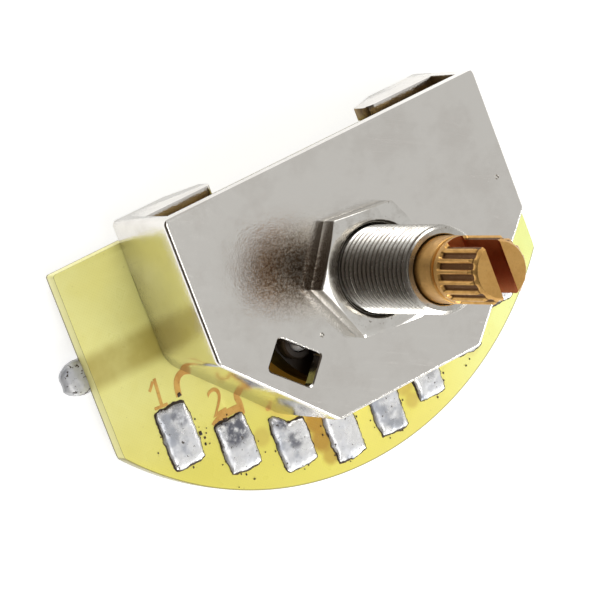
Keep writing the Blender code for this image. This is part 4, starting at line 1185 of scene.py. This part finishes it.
panel = fresh(bpy.ops.mesh.primitive_circle_add, vertices=256, radius=board_radius, fill_type='NGON',
              location=(board_middle, board_arc_y, BOARD_LOW.z))
saw(panel, (BOARD_LOW.x, 0.0, BOARD_LOW.z), (-1.0, 0.0, 0.0), fill=False)
saw(panel, (BOARD_HIGH.x, 0.0, BOARD_LOW.z), (1.0, 0.0, 0.0), fill=False)
saw(panel, (0.0, BOARD_HIGH.y, BOARD_LOW.z), (0.0, 1.0, 0.0), fill=False)
for top, corner in ((True, BOARD_TOP_CORNER), (False, BOARD_CORNER)):
    bevel(panel, 'VERT', lambda vert: near(abs(vert.co.x - board_middle), board_half)
          and near(vert.co.y, BOARD_HIGH.y) == top, corner, 5)
pick_all(panel)
extrude(0.0, 0.0, BOARD_HIGH.z - BOARD_LOW.z)
leave()
make_solid(panel)


def slot_cutter(x, y, turn):
    long, thick = (size + 2 * SLOT_SLACK for size in TAB_SIZE)
    return turned_about(centred_block(long, thick, BOARD_LOW.z - MM, BOARD_HIGH.z + MM), x, y, turn)


for place in TAB_PLACES:
    boolean(panel, slot_cutter(*place))
boolean(panel, rod(SLEEVE_HOLE, BOARD_LOW.z - MM, BOARD_HIGH.z + MM))
soften(panel, BOARD_SOFT, 50.0)
put_down(panel, "circuit_panel", "frame", BOARD, 30.0, ["circuit_board"])

# %% [markdown]
# ## Copper on the board
# Each contact has a number, etched in copper like the traces. Blender's own font gives the digits,
# which become thin meshes. A trace is a curve with a round section that is then pressed flat, so its
# ends are round like an etched line.

# %% Etch the numbers and the traces
MARK_HEIGHT = 0.02 * MM
MARK_REST = BOARD_FRONT + 0.002 * MM
NUMBER_SIZE = 3.7 * MM
NUMBER_AT = (-0.75 * MM, 1.75 * MM)
NUMBER_LEAN = radians(3.0)
NUMBER_SHEAR = 0.15
NUMBER_THIN = 0.02 * MM
# width, and points in millimetres
TRACES = [
    (0.62 * MM, [(-17.5, -5.0), (-17.4, -4.0), (-16.9, -3.2), (-15.9, -3.0), (-14.6, -3.9)]),
    (0.6 * MM, [(-12.2, -9.2), (-12.0, -8.2), (-12.2, -7.4), (-11.6, -6.4)]),
    (0.7 * MM, [(-15.3, -9.0), (-14.6, -8.55), (-13.4, -8.4), (-12.2, -8.5)]),
    (0.28 * MM, [(-20.25, -5.0), (-19.6, -5.05), (-18.85, -5.1)]),
    (0.28 * MM, [(-20.1, -3.35), (-19.7, -2.95), (-19.45, -2.6)]),
]


def meshed(piece):
    """Turn a text or a curve into a mesh."""
    activate(piece)
    bpy.ops.object.convert(target='MESH')
    return bpy.context.object


def number_mark(k):
    low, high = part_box("solder_pad_%d" % k)
    bpy.ops.object.select_all(action='DESELECT')
    bpy.ops.object.text_add(location=((low.x + high.x) / 2 + NUMBER_AT[0], high.y + NUMBER_AT[1],
                                      MARK_REST + MARK_HEIGHT / 2))
    digit = bpy.context.object
    set_up(digit.data, body=str(k), size=NUMBER_SIZE, align_x='CENTER', align_y='CENTER',
           shear=NUMBER_SHEAR, offset=-NUMBER_THIN, extrude=MARK_HEIGHT / 2)
    digit.rotation_euler.z = NUMBER_LEAN
    digit = meshed(digit)
    settle()
    return make_solid(digit)


def trace_mark(width, points):
    """A round line through some points, pressed flat onto the board."""
    path = set_up(bpy.data.curves.new("trace", 'CURVE'), dimensions='3D', bevel_depth=width / 2,
                  bevel_resolution=3, use_fill_caps=True)
    line = path.splines.new('NURBS')
    line.points.add(len(points) - 1)
    for spot, (x, y) in zip(line.points, points):
        spot.co = (x * MM, y * MM, 0.0, 1.0)
    set_up(line, use_endpoint_u=True, order_u=3)
    trace = meshed(new_object("trace", path))
    trace.scale.z = MARK_HEIGHT / width
    trace.location.z = MARK_REST + MARK_HEIGHT / 2
    settle()
    return make_solid(trace)


marks = [number_mark(k) for k in range(1, 9)]
marks += [trace_mark(width, points) for width, points in TRACES]
put_down(join_all(marks), "copper_marks", "frame", COPPER, 30.0)

# %% [markdown]
# ## Solder on the pads
# Hand soldering leaves a low mound with a wavy edge. Each one starts as a fine grid, extruded into a
# slab. Its corners are drawn in and its outline and top are then moved by Blender's smooth noise, with
# a different start for each pad, so no two mounds are alike and every run gives the same eight.

# %% Pour the solder
MOUND_STEPS = (30, 46)
CORNER_DRAW = 0.075
LEAST_HEIGHT = 0.02 * MM
PAD_TO_CUP = 0.6 * MM
PAD_SEED = 3.7
PAD_REST = BOARD_FRONT + 0.024 * MM
# how far the mound reaches past its pad on the left, right, lower and upper side, in millimetres
MOUND_REACH = {1: (0.25, 0.05, 0.05, 0.3), 2: (0.25, 0.0, -0.1, 0.0), 3: (0.1, 0.35, 0.0, 0.1),
               4: (-0.1, 0.2, 0.1, 0.0), 5: (-0.1, 0.1, -0.1, 0.0), 6: (-0.1, 0.0, -0.1, 0.0),
               7: (0.0, 0.2, -0.1, 0.0), 8: (0.1, 0.1, 0.0, 0.0)}


def cup_edge(x):
    """The cup's outer edge below the axis at a place along X."""
    share = (abs(x) - BOTTOM_HALF) / (cup_high.x - BOTTOM_HALF)
    return BOTTOM_Y + (SIDE_END_Y - BOTTOM_Y) * min(1.0, max(0.0, share))


def waves(x, y, seed, size, next_seed, share):
    """Smooth noise of one size, with a share of a finer one."""
    fine = 0.3 * MM
    return (noise.noise(Vector((x / size, y / size, seed)))
            + share * noise.noise(Vector((x / fine, y / fine, next_seed))))


def mound(low, high, rest, rise, seed, wavy=0.11 * MM, lumps=0.045 * MM, steps=MOUND_STEPS, ceiling=None,
          draw=CORNER_DRAW):
    """A slab between two corners, with a wavy edge and a lumpy, domed top."""
    piece = fresh(bpy.ops.mesh.primitive_grid_add, x_subdivisions=steps[0], y_subdivisions=steps[1], size=2.0)
    pick_all(piece)
    extrude(0.0, 0.0, 1.0)
    leave()
    for vert in piece.data.vertices:
        across, along, above = vert.co.x, vert.co.y, vert.co.z > 0.5
        rim = max(abs(across), abs(along))
        left = across * (1 - draw * along ** 4)
        up_share = (along * (1 - CORNER_DRAW * across ** 4) + 1) / 2
        x = (low[0] + high[0]) / 2 + left * (high[0] - low[0]) / 2
        top = high[1] if ceiling is None else min(high[1], ceiling(x))
        y = low[1] + (top - low[1]) * up_share
        reach = rim ** 3 * wavy
        x += reach * waves(x, y, seed, 0.9 * MM, seed + 5, 0.6)
        y += reach * waves(x, y, seed + 9, 0.9 * MM, seed + 14, 0.6)
        dome = (1 - rim ** 8) * (0.8 + 0.2 * (1 - rim ** 2))
        lump = lumps * waves(x, y, seed + 20, 0.8 * MM, seed + 30, 0.5)
        height = max(0.0, rise * dome + lump * (1 - rim ** 4)) + LEAST_HEIGHT
        vert.co = (x, y, rest + (height if above else 0.0))
    return make_solid(piece)


def pad_mound(k, margin, rest, rise, **values):
    """A mound over one pad and some way past it, but clear of the cup's wall."""
    low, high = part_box("solder_pad_%d" % k)
    left, right, down, above = (value * MM + margin for value in MOUND_REACH[k])
    return mound((low.x - left, low.y - down), (high.x + right, high.y + above), rest, rise, PAD_SEED * k,
                 ceiling=lambda x: cup_edge(x) - PAD_TO_CUP + margin, **values)


for k in range(1, 9):
    low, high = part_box("solder_pad_%d" % k)
    solder = pad_mound(k, 0.0, PAD_REST, high.z - low.z - 0.14 * MM)
    put_down(solder, "solder_mound_%d" % k, "frame", PAD_SOLDER, 60.0, ["solder_pad_%d" % k])

# %% [markdown]
# ## Burnt flux
# Resin flux boils out round each joint and dries in brown films and black beads. The films are very
# low mounds, and the beads are tiny ones. A rim of it shows round the foot of each mound of solder.

# %% Scatter the flux
# X, Y, half width and half height in millimetres
FLUX_FILMS = [(-17.45, -4.85, 0.22, 0.2), (-16.85, -9.0, 0.16, 0.2), (-16.6, -9.55, 0.1, 0.12),
              (-16.3, -9.2, 0.07, 0.07), (-16.75, -10.1, 0.09, 0.13), (-16.35, -10.25, 0.06, 0.06),
              (-16.1, -8.8, 0.05, 0.05), (-21.5, -8.8, 0.07, 0.07), (-20.3, -10.2, 0.06, 0.06),
              (-15.9, -12.6, 0.06, 0.06), (-13.4, -15.2, 0.12, 0.07), (-15.2, -15.2, 0.05, 0.05),
              (-11.4, -13.4, 0.05, 0.06), (-14.0, -8.95, 0.26, 0.16), (11.5, -15.1, 0.1, 0.08),
              (12.1, -14.7, 0.07, 0.07), (-4.35, -17.6, 0.26, 0.2), (15.9, -8.2, 0.3, 0.12),
              (16.8, -9.0, 0.12, 0.08), (17.4, -8.4, 0.08, 0.08)]
BEADS = 54
BEAD_TURN = 2.399963
FILM_HEIGHT = 0.05 * MM
FILM_LUMPS = 0.02 * MM
SKIRT = 0.06 * MM


def flux_film(x, y, half_wide, half_tall, seed):
    return mound(((x - half_wide) * MM, (y - half_tall) * MM), ((x + half_wide) * MM, (y + half_tall) * MM),
                 BOARD_FRONT + 0.004 * MM, FILM_HEIGHT, seed, wavy=0.5 * half_wide * MM, lumps=FILM_LUMPS,
                 steps=(8, 8))


def bead(k):
    """A bead just outside a pad's edge. The turn from bead to bead spreads them evenly."""
    low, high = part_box("solder_pad_%d" % (1 + k % 6))
    turn = BEAD_TURN * k
    x = ((low.x + high.x) / 2 + (high.x - low.x) * 0.62 * cos(turn)) / MM
    y = ((low.y + high.y) / 2 + (high.y - low.y) * 0.56 * sin(turn)) / MM
    half = 0.035 + 0.045 * abs(sin(1.7 * k))
    return flux_film(x, min(y, cup_edge(x * MM) / MM - 0.5), half, half * 1.2, 40.0 + k)


films = [flux_film(*film, 11.3 + k) for k, film in enumerate(FLUX_FILMS)]
films += [pad_mound(k, SKIRT, BOARD_FRONT + 0.003 * MM, FILM_HEIGHT, wavy=0.15 * MM, lumps=FILM_LUMPS)
          for k in range(1, 9)]
films += [bead(k) for k in range(BEADS)]
put_down(join_all(films), "flux_residue", "frame", FLUX, 60.0)

# %% [markdown]
# ## Ground lug
# A tinned strip lies behind the board, with an eye round the rear bearing. Its free end was dipped in
# solder and is thick and lumpy. The strip is a block and a ring joined by a Boolean, and the solder is
# the same kind of mound as on the pads, poured on both of its sides.

# %% Cut the lug and dip its end
LUG_Y = 0.4 * MM
LUG_HALF = 1.55 * MM
LUG_EYE = 4.4 * MM
LUG_HOLE = 2.72 * MM
STRIP_END = LUG_LOW.x + 0.15 * MM
STRIP_SOFT = 0.05 * MM
DIP_END = -21.0 * MM
DIP_HALF = LUG_HALF + 0.1 * MM
DIP_BELOW = 0.3 * MM
DIP_SINK = 0.1 * MM

strip = block(STRIP_END, -LUG_HOLE - 0.4 * MM, LUG_Y - LUG_HALF, LUG_Y + LUG_HALF, LUG_LOW.z, LUG_HIGH.z)
bevel(strip, 'EDGE', lambda edge: lies_at(edge, 'x', STRIP_END) and not near(rise_of(edge), 0.0),
      LUG_HALF * 0.95, 8)
make_solid(strip)
boolean(strip, rod(LUG_EYE, LUG_LOW.z, LUG_HIGH.z, 72), 'UNION')
boolean(strip, rod(LUG_HOLE, LUG_LOW.z - MM, LUG_HIGH.z + MM))
soften(strip, STRIP_SOFT, 40.0)
put_down(strip, "tinned_lug", "frame", LUG_SOLDER, 30.0, ["ground_lug"])

dip = mound((LUG_LOW.x, LUG_Y - DIP_HALF), (DIP_END, LUG_Y + DIP_HALF), 0.0, 0.42 * MM, 61.0,
            wavy=0.07 * MM, lumps=0.06 * MM, steps=(44, 30), draw=0.36)
for vert in dip.data.vertices:
    if vert.co.z < 0.001 * MM:
        vert.co.z = -DIP_BELOW
    vert.co.z += LUG_HIGH.z - DIP_SINK
put_down(dip, "lug_tinning", "frame", LUG_SOLDER, 60.0)

# %% [markdown]
# ## Detent ball
# The ball shines in the window of the plate, so it gets a finer surface than the solid has: a half
# circle turned about the ball's own axis.

# %% Turn the ball
ARC_STEPS = 24
ball_low, ball_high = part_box("detent_ball")
ball_middle = (ball_low + ball_high) / 2
ball_radius = (ball_high.z - ball_low.z) / 2
arc = [(ball_radius * sin(pi * k / ARC_STEPS), ball_middle.z - ball_radius * cos(pi * k / ARC_STEPS))
       for k in range(ARC_STEPS + 1)]
arc[0], arc[-1] = (0.0, ball_middle.z - ball_radius), (0.0, ball_middle.z + ball_radius)
ball = turned_about(lathe(arc, 48), ball_middle.x, ball_middle.y)
put_down(ball, "polished_ball", "ball", BALL_STEEL, 60.0, ["detent_ball"])

# %% [markdown]
# ## Measure and finish
# The dressed switch must keep the size of the solids.

# %% Write the sizes
low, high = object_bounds()
print("size in mm:", [round(v / MM, 2) for v in high - low])
